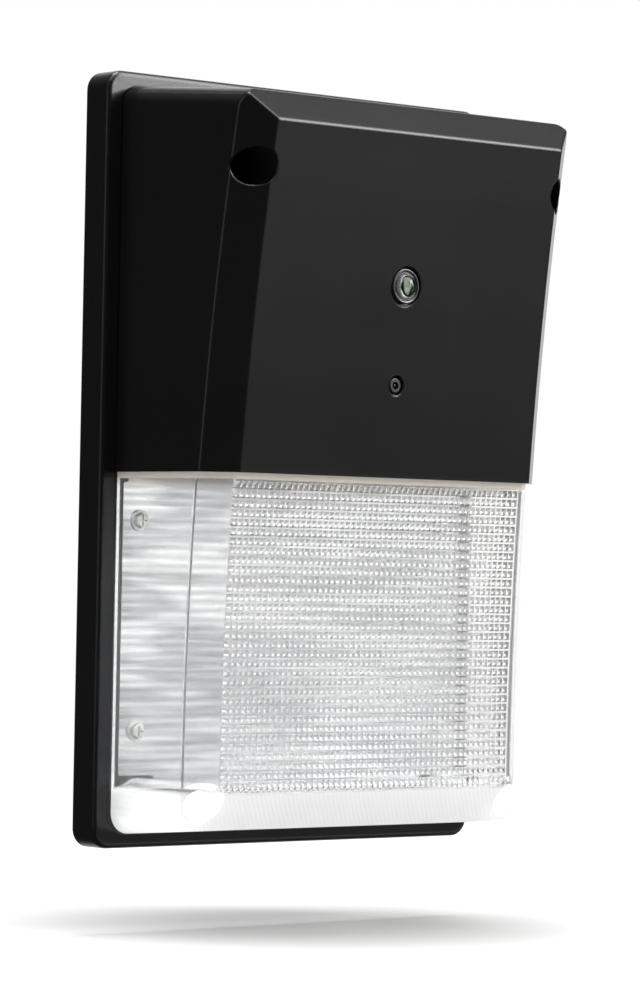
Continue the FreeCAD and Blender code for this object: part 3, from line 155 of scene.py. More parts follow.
class Graph:
    """A node tree that is filled through one method."""

    def __init__(self, tree: bpy.types.NodeTree) -> None:
        """Takes the tree and empties it."""
        self.tree = tree
        tree.nodes.clear()

    def node(
        self,
        kind: str,
        settings: Mapping[str, object] | None = None,
        inputs: Mapping[str | int, object] | None = None,
    ) -> bpy.types.Node:
        """Adds one node.

        Args:
            kind: The node's type.
            settings: Its options, such as a Math node's operation, set first.
            inputs: The value or link of each socket, by name or number.

        Returns:
            The new node.
        """
        node = self.tree.nodes.new(kind)
        for key, value in (settings or {}).items():
            setattr(node, key, value)
        for key, value in (inputs or {}).items():
            socket = node.inputs[key]
            if isinstance(value, Signal):
                self.tree.links.new(value.socket, socket)
            elif isinstance(value, bpy.types.NodeSocket):
                self.tree.links.new(value, socket)
            elif isinstance(value, tuple) and len(value) == 3 and socket.type == "RGBA":
                socket.default_value = (*value, 1.0)
            else:
                socket.default_value = value
        return node

    def math(self, operation: str, *values: Number) -> Signal:
        """Adds one Math node on the values."""
        node = self.node("ShaderNodeMath", {"operation": operation}, dict(enumerate(values)))
        return Signal(self, node.outputs[0])

    def place(self, scale: tuple[float, float, float] = (1.0, 1.0, 1.0)) -> bpy.types.NodeSocket:
        """The object's own coordinates, stretched by scale."""
        coordinates = self.node("ShaderNodeTexCoord").outputs["Object"]
        mapping = self.node("ShaderNodeMapping", None, {"Vector": coordinates, "Scale": scale})
        return mapping.outputs["Vector"]

    def axes(self, vector: bpy.types.NodeSocket) -> tuple[Signal, Signal, Signal]:
        """The three parts of a vector."""
        split = self.node("ShaderNodeSeparateXYZ", None, {"Vector": vector})
        x, y, z = (Signal(self, output) for output in split.outputs)
        return x, y, z

    def noise(
        self,
        per_metre: float,
        detail: float = 2.0,
        stretch: tuple[float, float, float] = (1.0, 1.0, 1.0),
    ) -> Signal:
        """Noise in the object's own coordinates, from 0 to 1.

        Args:
            per_metre: Grains per metre.
            detail: Octaves.
            stretch: Scale along each axis; a low one draws the grain out.

        Returns:
            The noise.
        """
        node = self.node(
            "ShaderNodeTexNoise",
            None,
            {"Vector": self.place(stretch), "Scale": per_metre, "Detail": detail},
        )
        return Signal(self, node.outputs["Fac"])

    def blend(self, factor: Number, first: object, second: object) -> bpy.types.NodeSocket:
        """A colour between two colours."""
        node = self.node("ShaderNodeMix", {"data_type": "RGBA"}, {0: factor, 6: first, 7: second})
        return node.outputs[2]

    def bump(self, height: Signal, depth: float) -> bpy.types.NodeSocket:
        """A normal from a height of 0 to 1 that stands for depth in metres."""
        node = self.node("ShaderNodeBump", None, {"Height": height, "Distance": depth})
        return node.outputs["Normal"]

    def surface(self, inputs: Mapping[str | int, object]) -> bpy.types.NodeSocket:
        """A Principled shader with these sockets."""
        return self.node("ShaderNodeBsdfPrincipled", None, inputs).outputs["BSDF"]

    def mix(
        self, factor: Number, first: bpy.types.NodeSocket, second: bpy.types.NodeSocket
    ) -> bpy.types.NodeSocket:
        """A shader between two shaders."""
        node = self.node("ShaderNodeMixShader", None, {0: factor, 1: first, 2: second})
        return node.outputs[0]

    def output(self, shader: bpy.types.NodeSocket) -> None:
        """Sends a shader to the tree's output."""
        world = isinstance(self.tree.id_data, bpy.types.World)
        kind = "ShaderNodeOutputWorld" if world else "ShaderNodeOutputMaterial"
        self.node(kind, None, {"Surface": shader})


# ---- finishes
@dataclass(frozen=True)
class Finish:
    """What every finish has: a name, and a material made from its nodes."""

    name: str

    def shader(self, graph: Graph) -> bpy.types.NodeSocket:
        """The finish's shader in the graph."""
        raise NotImplementedError

    def material(self) -> bpy.types.Material:
        """The material of this finish, made once and then found by its name."""
        found = bpy.data.materials.get(self.name)
        if found:
            return found
        material = bpy.data.materials.new(self.name)
        material.use_nodes = True
        graph = Graph(material.node_tree)
        graph.output(self.shader(graph))
        return material


@dataclass(frozen=True)
class PowderCoat(Finish):
    """Fine satin black powder coat, with a faint orange peel and a duller film in places."""

    black: Colour = (0.0050, 0.0050, 0.0058)
    worn: Colour = (0.0078, 0.0078, 0.0088)
    roughness: float = 0.16
    specular: float = 0.36
    film_per_metre: float = 16.0
    film_dulling: float = 0.06
    peel_per_metre: float = 900.0
    peel_depth: float = 0.025 * MM
    peel_share: float = 0.8
    grain_per_metre: float = 5200.0
    grain_share: float = 0.2
    grain_dulling: float = 0.02
    edge_radius: float = 1.3 * MM
    edge_samples: int = 6

    def shader(self, graph: Graph) -> bpy.types.NodeSocket:
        """Black satin film over cast metal, its sharp edges rounded by the coat."""
        film = graph.noise(self.film_per_metre, detail=3.0)
        peel = graph.noise(self.peel_per_metre)
        grain = graph.noise(self.grain_per_metre, detail=1.0)
        skin = graph.bump(peel * self.peel_share + grain * self.grain_share, self.peel_depth)
        edges = graph.node(
            "ShaderNodeBevel",
            {"samples": self.edge_samples},
            {"Radius": self.edge_radius, "Normal": skin},
        )
        return graph.surface(
            {
                "Base Color": graph.blend(film, self.black, self.worn),
                "Roughness": self.roughness + film * self.film_dulling + grain * self.grain_dulling,
                "Specular IOR Level": self.specular,
                "Normal": edges.outputs["Normal"],
            }
        )


@dataclass(frozen=True)
class ClearMoulding(Finish):
    """Clear moulded plastic that light passes.

    With a haze it is milky below the height where its hatching starts and along its upper lip.
    A painted shade takes over towards the foot: the base colour darkens there.
    """

    tint: Colour = (0.975, 0.985, 0.985)
    # painted shade: the darker base colour towards the foot, and the heights over which it fades in
    painted_shade_tint: Colour = (0.975, 0.985, 0.985)
    painted_shade_top: float = -20.0 * MM
    painted_shade_bottom: float = -130.0 * MM
    index: float = 1.45
    roughness: float = 0.08
    flow_per_metre: float = 60.0
    flow_dulling: float = 0.01
    flow_depth: float = 0.04 * MM
    veil: float = 0.0
    haze: float = 0.0
    hatch_top: float = -134.0 * MM
    hatch_fade: float = 2.2 * MM
    hatch_lean: float = 0.9
    hatch_per_metre: float = 2600.0
    hatch_depth: float = 0.06 * MM
    lip_haze: float = 0.86
    lip_bottom: float = -8.0 * MM
    lip_fade: float = 0.3 * MM
    lip_cream: Colour = (1.0, 0.95, 0.87)
    milk: Colour = (0.985, 0.985, 0.985)
    milk_dull: Colour = (0.93, 0.93, 0.94)
    milk_roughness: float = 0.22
    milk_passing: float = 0.45

    def shader(self, graph: Graph) -> bpy.types.NodeSocket:
        """Glass-like body, open to shadow rays so that the lamps reach what is behind."""
        flow = graph.noise(self.flow_per_metre)
        _, _, height = graph.axes(graph.place())
        glass = graph.surface(
            {
                # painted shade: the base colour darkens from the upper height down to the foot
                "Base Color": graph.blend(
                    height.between(self.painted_shade_top, self.painted_shade_bottom), self.tint, self.painted_shade_tint
                ),
                "Roughness": self.roughness + flow * self.flow_dulling,
                "IOR": self.index,
                "Transmission Weight": 1.0,
                "Normal": graph.bump(flow, self.flow_depth),
            }
        )
        if self.haze > 0.0:
            lip = height.between(self.lip_bottom, self.lip_bottom + self.lip_fade)
            hatched = height.between(self.hatch_top, self.hatch_top - self.hatch_fade)
            cloud = self.veil + hatched * (self.haze - self.veil) + lip * self.lip_haze
            glass = graph.mix(cloud, glass, self._milk(graph, lip))
        clear = graph.node("ShaderNodeBsdfTransparent", None, {"Color": self.tint}).outputs[0]
        path = graph.node("ShaderNodeLightPath")
        return graph.mix(Signal(graph, path.outputs["Is Shadow Ray"]), glass, clear)

    def _milk(self, graph: Graph, lip: Signal) -> bpy.types.NodeSocket:
        """The white look of the fine hatching, which sends light back, cream along the lip."""
        across, _, height = graph.axes(graph.place())
        wave = graph.math("SINE", (across + height * self.hatch_lean) * self.hatch_per_metre)
        hatch = wave * 0.5 + 0.5
        white = graph.blend(hatch, self.milk, self.milk_dull)
        body = graph.surface(
            {
                "Base Color": graph.blend(lip, white, self.lip_cream),
                "Roughness": self.milk_roughness,
                "Normal": graph.bump(hatch, self.hatch_depth),
            }
        )
        veiled = graph.blend(lip, self.milk, self.lip_cream)
        through = graph.node("ShaderNodeBsdfTranslucent", None, {"Color": veiled}).outputs[0]
        return graph.mix(self.milk_passing, body, through)


@dataclass(frozen=True)
class RolledSheet(Finish):
    """Bright rolled sheet, with long shallow rolling waves across it."""

    bright: Colour = (0.93, 0.93, 0.93)
    dull: Colour = (0.50, 0.50, 0.52)
    roughness: float = 0.045
    wave_stretch: tuple[float, float, float] = (14.0, 1.0, 110.0)
    wave_edges: Span = (0.40, 0.56)
    wave_share: float = 0.7
    wave_depth: float = 0.05 * MM
    fine_stretch: tuple[float, float, float] = (40.0, 1.0, 900.0)
    fine_edges: Span = (0.35, 0.65)
    fine_share: float = 0.3
    fine_height: float = 0.02
    fine_dulling: float = 0.05

    def shader(self, graph: Graph) -> bpy.types.NodeSocket:
        """Mirror-like metal drawn out along X."""
        wave = graph.noise(1.0, detail=1.0, stretch=self.wave_stretch)
        fine = graph.noise(1.0, stretch=self.fine_stretch)
        waves = wave.between(*self.wave_edges) * self.wave_share
        streak = waves + fine.between(*self.fine_edges) * self.fine_share
        return graph.surface(
            {
                "Base Color": graph.blend(streak, self.bright, self.dull),
                "Metallic": 1.0,
                "Roughness": self.roughness + fine * self.fine_dulling,
                "Normal": graph.bump(wave + fine * self.fine_height, self.wave_depth),
            }
        )


@dataclass(frozen=True)
class Metal(Finish):
    """Bare or plated metal with a brushed grain along one axis and faint tarnish."""

    light: Colour = (0.62, 0.62, 0.60)
    dark: Colour = (0.46, 0.46, 0.45)
    roughness: float = 0.28
    grain: tuple[float, float, float] = (1.0, 1.0, 30.0)
    metallic: float = 1.0
    brush_per_metre: float = 160.0
    brush_share: float = 0.3
    brush_dulling: float = 0.16
    brush_depth: float = 0.02 * MM
    tarnish_per_metre: float = 110.0
    tarnish_share: float = 0.7

    def shader(self, graph: Graph) -> bpy.types.NodeSocket:
        """Brushed metal."""
        brushed = graph.noise(self.brush_per_metre, detail=3.0, stretch=self.grain)
        tarnish = graph.noise(self.tarnish_per_metre)
        shade = tarnish * self.tarnish_share + brushed * self.brush_share
        return graph.surface(
            {
                "Base Color": graph.blend(shade, self.light, self.dark),
                "Metallic": self.metallic,
                "Roughness": self.roughness + brushed * self.brush_dulling,
                "Normal": graph.bump(brushed, self.brush_depth),
            }
        )


@dataclass(frozen=True)
class Moulding(Finish):
    """Moulded plastic or coated board, with a fine texture and uneven gloss."""

    light: Colour = (0.5, 0.5, 0.5)
    dark: Colour = (0.4, 0.4, 0.4)
    roughness: float = 0.4
    specular: float = 0.5
    texture_per_metre: float = 1400.0
    texture_depth: float = 0.03 * MM
    texture_dulling: float = 0.12
    coat: float = 0.0
    coat_roughness: float = 0.08
    cloud_per_metre: float = 45.0

    def shader(self, graph: Graph) -> bpy.types.NodeSocket:
        """Textured plastic."""
        cloud = graph.noise(self.cloud_per_metre)
        texture = graph.noise(self.texture_per_metre)
        return graph.surface(
            {
                "Base Color": graph.blend(cloud, self.light, self.dark),
                "Roughness": self.roughness + texture * self.texture_dulling,
                "Specular IOR Level": self.specular,
                "Coat Weight": self.coat,
                "Coat Roughness": self.coat_roughness,
                "Normal": graph.bump(texture, self.texture_depth),
            }
        )


@dataclass(frozen=True)
class CellFace(Finish):
    """The dusk cell's pale face, with its folded resistor track."""

    pale: Colour = (0.76, 0.82, 0.70)
    paler: Colour = (0.84, 0.87, 0.78)
    cloud_per_metre: float = 400.0
    cloud_share: float = 0.4
    roughness: float = 0.25
    cloud_dulling: float = 0.2
    track: Colour = (0.34, 0.40, 0.32)
    track_middle: float = 74.0 * MM
    track_pitch: float = 1.2 * MM
    track_edges: Span = (0.72, 0.95)
    track_share: float = 0.6
    track_depth: float = 0.05 * MM

    def shader(self, graph: Graph) -> bpy.types.NodeSocket:
        """A pale disc with fine dark lines across it."""
        _, _, height = graph.axes(graph.place())
        turns = 2 * math.pi / self.track_pitch
        wave = graph.math("SINE", (height - self.track_middle) * turns)
        line = wave.between(*self.track_edges)
        cloud = graph.noise(self.cloud_per_metre)
        face = graph.blend(cloud * self.cloud_share, self.pale, self.paler)
        return graph.surface(
            {
                "Base Color": graph.blend(line * self.track_share, face, self.track),
                "Roughness": self.roughness + cloud * self.cloud_dulling,
                "Normal": graph.bump(line, self.track_depth),
            }
        )


COAT = PowderCoat("black powder coat")
LENS_CLEAR = ClearMoulding(
    "clear prismatic moulding",
    # painted shade: the lens's base colour darkens towards its foot
    painted_shade_tint=(0.875, 0.885, 0.89),
    veil=0.06,
    haze=0.95,
)
DOME_CLEAR = ClearMoulding("clear dome", tint=(0.86, 0.93, 0.88), index=1.49, roughness=0.01)
SHEET = RolledSheet("bright rolled sheet")
MILL = Metal(
    "mill aluminium", (0.72, 0.73, 0.74), (0.60, 0.61, 0.62), roughness=0.34, grain=(1.0, 20.0, 20.0)
)
STEEL = Metal("plain stainless", (0.66, 0.66, 0.64), (0.50, 0.50, 0.49), roughness=0.24)
ZINC = Metal("zinc plated spring steel", (0.60, 0.61, 0.64), (0.44, 0.45, 0.48), roughness=0.30)
BRASS = Metal("plain brass", (0.78, 0.58, 0.28), (0.60, 0.42, 0.18), roughness=0.26)
GREEN = Metal("green plating", (0.06, 0.30, 0.11), (0.03, 0.20, 0.07), roughness=0.34, metallic=0.6)
DARK_STEEL = Metal("blackened steel", (0.055, 0.055, 0.06), (0.03, 0.03, 0.033), roughness=0.30)
NYLON = Moulding(
    "black nylon", (0.020, 0.021, 0.022), (0.010, 0.010, 0.011), roughness=0.18, coat=0.4
)
CASE = Moulding("pale driver casing", (0.78, 0.78, 0.75), (0.70, 0.70, 0.68), roughness=0.48)
NATURAL = Moulding("natural nylon", (0.80, 0.78, 0.70), (0.72, 0.69, 0.60), roughness=0.34)
MASK = Moulding(
    "white board mask", (0.86, 0.87, 0.85), (0.80, 0.81, 0.79), roughness=0.22, coat=0.5
)
PHOSPHOR = Moulding(
    "yellow phosphor", (0.86, 0.74, 0.22), (0.78, 0.62, 0.14), roughness=0.30, coat=0.6
)
FOAM = Moulding(
    "closed-cell foam",
    (0.035, 0.035, 0.037),
    (0.018, 0.018, 0.019),
    roughness=0.72,
    specular=0.25,
    texture_per_metre=2600.0,
    texture_depth=0.2 * MM,
)
SILICONE = Moulding(
    "cream silicone",
    (0.82, 0.78, 0.68),
    (0.74, 0.69, 0.58),
    roughness=0.42,
    specular=0.4,
    texture_per_metre=700.0,
)
CELL = CellFace("pale cell face")


# ---- hand modelling
class Bench:
    """Hand modelling through operators, on one piece at a time."""

    @staticmethod
    def clear() -> None:
        """Leaves edit mode and deselects everything."""
        if bpy.context.object and bpy.context.object.mode != "OBJECT":
            bpy.ops.object.mode_set(mode="OBJECT")
        bpy.ops.object.select_all(action="DESELECT")

    @staticmethod
    def take(piece: bpy.types.Object) -> None:
        """Makes the piece the only selected and the active one."""
        Bench.clear()
        piece.select_set(True)
        bpy.context.view_layer.objects.active = piece

    @staticmethod
    def settle(piece: bpy.types.Object, name: str) -> bpy.types.Object:
        """Names a fresh primitive and moves its place into its mesh."""
        piece.name = name
        piece.data.name = name
        Bench.take(piece)
        bpy.ops.object.transform_apply(location=True, rotation=True, scale=True)
        return piece

    @staticmethod
    def box(name: str, low: Vector, high: Vector) -> bpy.types.Object:
        """A cube from one corner to the other."""
        Bench.clear()
        bpy.ops.mesh.primitive_cube_add(size=1.0, location=(low + high) / 2, scale=high - low)
        return Bench.settle(bpy.context.object, name)

    @staticmethod
    def rod(
        name: str, radius: float, back: Vector, front: Vector, sides: int = 48
    ) -> bpy.types.Object:
        """A cylinder between two points.

        Args:
            name: The piece's name.
            radius: Its radius.
            back: The middle of its first end.
            front: The middle of its last end.
            sides: How many faces it has round it.

        Returns:
            The cylinder.
        """
        Bench.clear()
        run = front - back
        bpy.ops.mesh.primitive_cylinder_add(
            vertices=sides,
            radius=radius,
            depth=run.length,
            location=(back + front) / 2,
            rotation=run.to_track_quat("Z", "Y").to_euler(),
        )
        return Bench.settle(bpy.context.object, name)

    @staticmethod
    @contextmanager
    def editing(piece: bpy.types.Object, element: Element) -> Iterator[None]:
        """Edit mode on the piece with nothing selected, and back to object mode after."""
        Bench.take(piece)
        bpy.ops.object.mode_set(mode="EDIT")
        bpy.ops.mesh.select_mode(type=element.value)
        bpy.ops.mesh.select_all(action="DESELECT")
        yield
        bpy.ops.object.mode_set(mode="OBJECT")

    @staticmethod
    def pick(piece: bpy.types.Object, element: Element, wanted: Callable[[object], bool]) -> None:
        """Selects the elements that the test wants, and only those.

        Args:
            piece: The piece, in edit mode.
            element: What is selected.
            wanted: The test on one vertex, edge or face.
        """
        mesh = bmesh.from_edit_mesh(piece.data)
        for group in (mesh.verts, mesh.edges, mesh.faces):
            for item in group:
                item.select = False
        mesh.select_flush(False)
        group = {
            Element.VERT: mesh.verts,
            Element.EDGE: mesh.edges,
            Element.FACE: mesh.faces,
        }[element]
        for item in filter(wanted, group):
            item.select_set(True)
        bmesh.update_edit_mesh(piece.data)

    @staticmethod
    def pick_end(piece: bpy.types.Object, side: Side) -> None:
        """Selects the piece's faces that look to one side."""
        Bench.pick(piece, Element.FACE, lambda face: face.normal.y * side.value > FACING)

    @staticmethod
    def bevel_end(piece: bpy.types.Object, side: Side, offset: float, segments: int) -> None:
        """Bevels the rim of a piece's flat end.

        Args:
            piece: The piece.
            side: Which end.
            offset: The bevel's width.
            segments: How many faces it has.
        """
        with Bench.editing(piece, Element.FACE):
            Bench.pick_end(piece, side)
            bpy.ops.mesh.bevel(offset=offset, segments=segments, affect="EDGES")

    @staticmethod
    def join(
        target: bpy.types.Object, tool: bpy.types.Object, operation: Operation, solver: str = "EXACT"
    ) -> None:
        """Cuts or fuses the tool into the target, and removes the tool."""
        modifier = target.modifiers.new("join", "BOOLEAN")
        modifier.object = tool
        modifier.operation = operation.value
        modifier.solver = solver
        Bench.apply(target)
        bpy.data.objects.remove(tool)

    @staticmethod
    def apply(piece: bpy.types.Object) -> None:
        """Applies every modifier of the piece."""
        Bench.take(piece)
        for modifier in list(piece.modifiers):
            bpy.ops.object.modifier_apply(modifier=modifier.name)

    @staticmethod
    def soften(piece: bpy.types.Object, degrees: float) -> None:
        """Smooth shading up to an angle, with flat faces kept flat."""
        Bench.take(piece)
        bpy.ops.object.shade_smooth_by_angle(angle=math.radians(degrees))
        weighted = piece.modifiers.new("weighted", "WEIGHTED_NORMAL")
        weighted.keep_sharp = True
        Bench.apply(piece)

    @staticmethod
    def twins(piece: bpy.types.Object, name: str, places: Sequence[Vector]) -> bpy.types.Object:
        """Copies a piece modelled at the origin to each place and joins the copies.

        Args:
            piece: The piece, modelled once.
            name: The joined piece's name.
            places: Where its copies go.

        Returns:
            The joined copies.
        """
        copies = []
        for place in places:
            mesh = piece.data.copy()
            mesh.transform(Matrix.Translation(place))
            copy = bpy.data.objects.new(name, mesh)
            bpy.context.scene.collection.objects.link(copy)
            copies.append(copy)
        bpy.data.objects.remove(piece)
        Bench.clear()
        for copy in copies:
            copy.select_set(True)
        bpy.context.view_layer.objects.active = copies[0]
        bpy.ops.object.join()
        copies[0].name = name
        return copies[0]


@dataclass
class Assembly:
    """A group of pieces: it dresses the frame's nodes and adds pieces of its own."""

    body: Body

    def dress(self) -> None:
        """Finishes the nodes that keep their shape. A group may have none."""

    def build(self) -> None:
        """Models the pieces of its own. A group may have none."""

    def paint(self, finish: Finish, *nodes: str) -> None:
        """Gives the frame's nodes a finish."""
        for name in nodes:
            for slot in bpy.data.objects[name].material_slots:
                slot.material = finish.material()
            LOG.info("%s is dressed in %s", name, finish.name)

    def hand_in(self, piece: bpy.types.Object, finish: Finish, slot: str, *nodes: str) -> None:
        """Finishes a new piece.

        Args:
            piece: The piece, in place.
            finish: Its finish.
            slot: Not used.
            nodes: The frame's nodes that it stands for.
        """
        piece.data.materials.clear()
        piece.data.materials.append(finish.material())
        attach(piece, self.body.value)
        if nodes:
            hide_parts(*nodes)
        LOG.info("%s has %d faces", piece.name, len(piece.data.polygons))


# ---- the light's parts
@dataclass
class WallUnit(Assembly):
    """The cast plate with its gaskets, bright pan, LED shelf, driver and terminals."""

    body: Body = Body.WALL
    frame_head_radius: float = 3.5 * MM
    head_radius: float = 3.3 * MM
    head_height: float = 2.6 * MM
    head_bevel: float = 0.7 * MM
    flange_radius: float = 4.4 * MM
    flange_thickness: float = 0.8 * MM
    flange_bevel: float = 0.25 * MM
    recess_radius: float = 1.9 * MM
    recess_half_width: float = 0.35 * MM
    recess_floor: float = 1.3 * MM
    recess_mouth: float = 4.0 * MM
    shank_radius: float = 1.7 * MM
    shank_length: float = 5.9 * MM
    shank_bevel: float = 0.5 * MM

    def dress(self) -> None:
        """Finishes the nodes that keep their shape."""
        self.paint(COAT, "back_plate")
        self.paint(FOAM, "wall_gasket", "cover_gasket")
        self.paint(SHEET, "reflector_pan")
        self.paint(MILL, "led_bracket")
        self.paint(MASK, "led_board")
        self.paint(PHOSPHOR, "led_chips")
        self.paint(CASE, "driver_case", "driver_lid")
        self.paint(NATURAL, "terminal_block")
        self.paint(BRASS, "terminal_clamp_screws")
        self.paint(GREEN, "earth_screw")
        self.paint(STEEL, "bracket_screws", "led_board_screws", "driver_screws", "terminal_screws")

    def build(self) -> None:
        """Models the pan's four screws."""
        low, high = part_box("reflector_screws")
        pan_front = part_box("reflector_pan")[0].y
        inset = self.frame_head_radius
        half = (high.x - low.x) / 2 - inset
        places = [
            Vector((sign * half, pan_front, height))
            for sign in (-1, 1)
            for height in (high.z - inset, low.z + inset)
        ]
        screws = Bench.twins(self._flanged_head(), "pan_screws", places)
        Bench.soften(screws, degrees=35.0)
        self.hand_in(screws, STEEL, "screw_steel", "reflector_screws")

    def _flanged_head(self) -> bpy.types.Object:
        """A washer head with a domed hexagon, a cross recess and its shank, seat at y = 0."""
        front = Vector((0.0, -1.0, 0.0))
        flange = Bench.rod("pan_screw", self.flange_radius, Vector(), front * self.flange_thickness)
        Bench.bevel_end(flange, Side.FRONT, self.flange_bevel, segments=2)
        hexagon = Bench.rod("hexagon", self.head_radius, Vector(), front * self.head_height, sides=6)
        Bench.bevel_end(hexagon, Side.FRONT, self.head_bevel, segments=3)
        Bench.join(flange, hexagon, Operation.FUSE)
        long, short = self.recess_radius + self.recess_half_width, self.recess_half_width
        for wide, tall in ((long, short), (short, long)):
            slot = Bench.box(
                "recess",
                Vector((-wide, -self.recess_mouth, -tall)),
                Vector((wide, -self.recess_floor, tall)),
            )
            Bench.join(flange, slot, Operation.CUT)
        end = Vector((0.0, self.shank_length, 0.0))
        shank = Bench.rod("shank", self.shank_radius, end, -front * OVERLAP, sides=24)
        Bench.bevel_end(shank, Side.WALL, self.shank_bevel, segments=1)
        Bench.join(flange, shank, Operation.FUSE)
        return flange


@dataclass
class Housing(Assembly):
    """The black upper cover with its seal, clips and captive screws."""

    body: Body = Body.COVER

    def dress(self) -> None:
        """Finishes the nodes that keep their shape."""
        self.paint(COAT, "housing")
        self.paint(SILICONE, "lens_seal")
        self.paint(ZINC, "lens_clips", "screw_retainers")
        self.paint(STEEL, "clip_screws")
        self.paint(DARK_STEEL, "cover_screws")
        self.paint(FOAM, "cover_screw_washers")


@dataclass
class Lens(Assembly):
    """The clear refractor: the frame's bowl, its ribs cut into rows of pyramids.

    The pane's inner skin lies pane_inset behind the swept front, and the ribs stand relief off it.
    A groove starts past_crest behind the ribs and leaves skin_left of them on the pane.
    """

    body: Body = Body.COVER
    columns: int = 52
    field_half: float = 78.8 * MM
    field_top: float = -8.15 * MM
    field_bottom: float = -136.0 * MM
    pane_inset: float = 5.7 * MM
    relief: float = 1.1 * MM
    root: float = 0.3 * MM
    crest: float = 0.2 * MM
    blank_half: float = 1.0 * MM
    skin_left: float = 0.04 * MM
    past_crest: float = 0.25 * MM
    front_low: float = -130.0 * MM
    front_low_depth: float = 69.3 * MM
    front_radius: float = 1540.0 * MM
    rows: int = 16

    def _pane(self, height: float, inset: float) -> float:
        """Depth of the swept front at a height, for a skin that lies inset behind it."""
        radius = self.front_radius + inset
        fall = math.sqrt(radius**2 - (height - self.front_low) ** 2)
        return self.front_low_depth - inset + radius - fall

    def _groove(self) -> bpy.types.Object:
        """One upright V groove that follows the curve of the front, at x = -field_half."""
        pitch = 2 * self.field_half / self.columns
        half = (pitch - self.crest) / 2
        blank = self.blank_half
        groove = Bench.box(
            "prism_grooves",
            Vector((-half - self.field_half, -blank, self.field_bottom)),
            Vector((half - self.field_half, blank, self.field_top)),
        )
        steps = [
            self.field_bottom + (self.field_top - self.field_bottom) * index / self.rows
            for index in range(self.rows + 1)
        ]
        with Bench.editing(groove, Element.VERT):
            for height in steps[1:-1]:
                bpy.ops.mesh.select_all(action="SELECT")
                bpy.ops.mesh.bisect(plane_co=(0, 0, height), plane_no=(0, 0, 1))
            for height in steps:
                front = -self._pane(height, self.pane_inset) + self.skin_left
                back = -self._pane(height, self.pane_inset + self.relief) + self.past_crest
                for side, depth in ((-1, front), (1, back)):
                    Bench.pick(
                        groove,
                        Element.VERT,
                        lambda v, h=height, y=side * blank: abs(v.co.z - h) < NEAR
                        and abs(v.co.y - y) < NEAR,
                    )
                    bpy.ops.transform.translate(value=(0.0, depth - side * blank, 0.0))
            Bench.pick(groove, Element.VERT, lambda v: self._at_root(v.co))
            bpy.ops.transform.resize(
                value=(self.root / (2 * half), 1.0, 1.0),
                center_override=(-self.field_half, 0.0, 0.0),
            )
        row = groove.modifiers.new("row", "ARRAY")
        row.count = self.columns + 1
        row.use_relative_offset = False
        row.use_constant_offset = True
        row.constant_offset_displace = (pitch, 0.0, 0.0)
        Bench.apply(groove)
        return groove

    def _at_root(self, place: Vector) -> bool:
        """Whether a groove's vertex lies on the pane."""
        return -place.y > self._pane(place.z, self.pane_inset + self.relief / 2)

    def build(self) -> None:
        """Copies the bowl, merges it and cuts the upright grooves."""
        mesh = bpy.data.objects["lens"].data.copy()
        glass = bpy.data.objects.new("lens_prismatic", mesh)
        bpy.context.scene.collection.objects.link(glass)
        with Bench.editing(glass, Element.VERT):
            bpy.ops.mesh.select_all(action="SELECT")
            bpy.ops.mesh.customdata_custom_splitnormals_clear()
            bpy.ops.mesh.remove_doubles(threshold=0.001 * MM)
        Bench.join(glass, self._groove(), Operation.CUT, "MANIFOLD")
        Bench.soften(glass, degrees=24.0)
        self.hand_in(glass, LENS_CLEAR, "clear_polycarbonate", "lens")


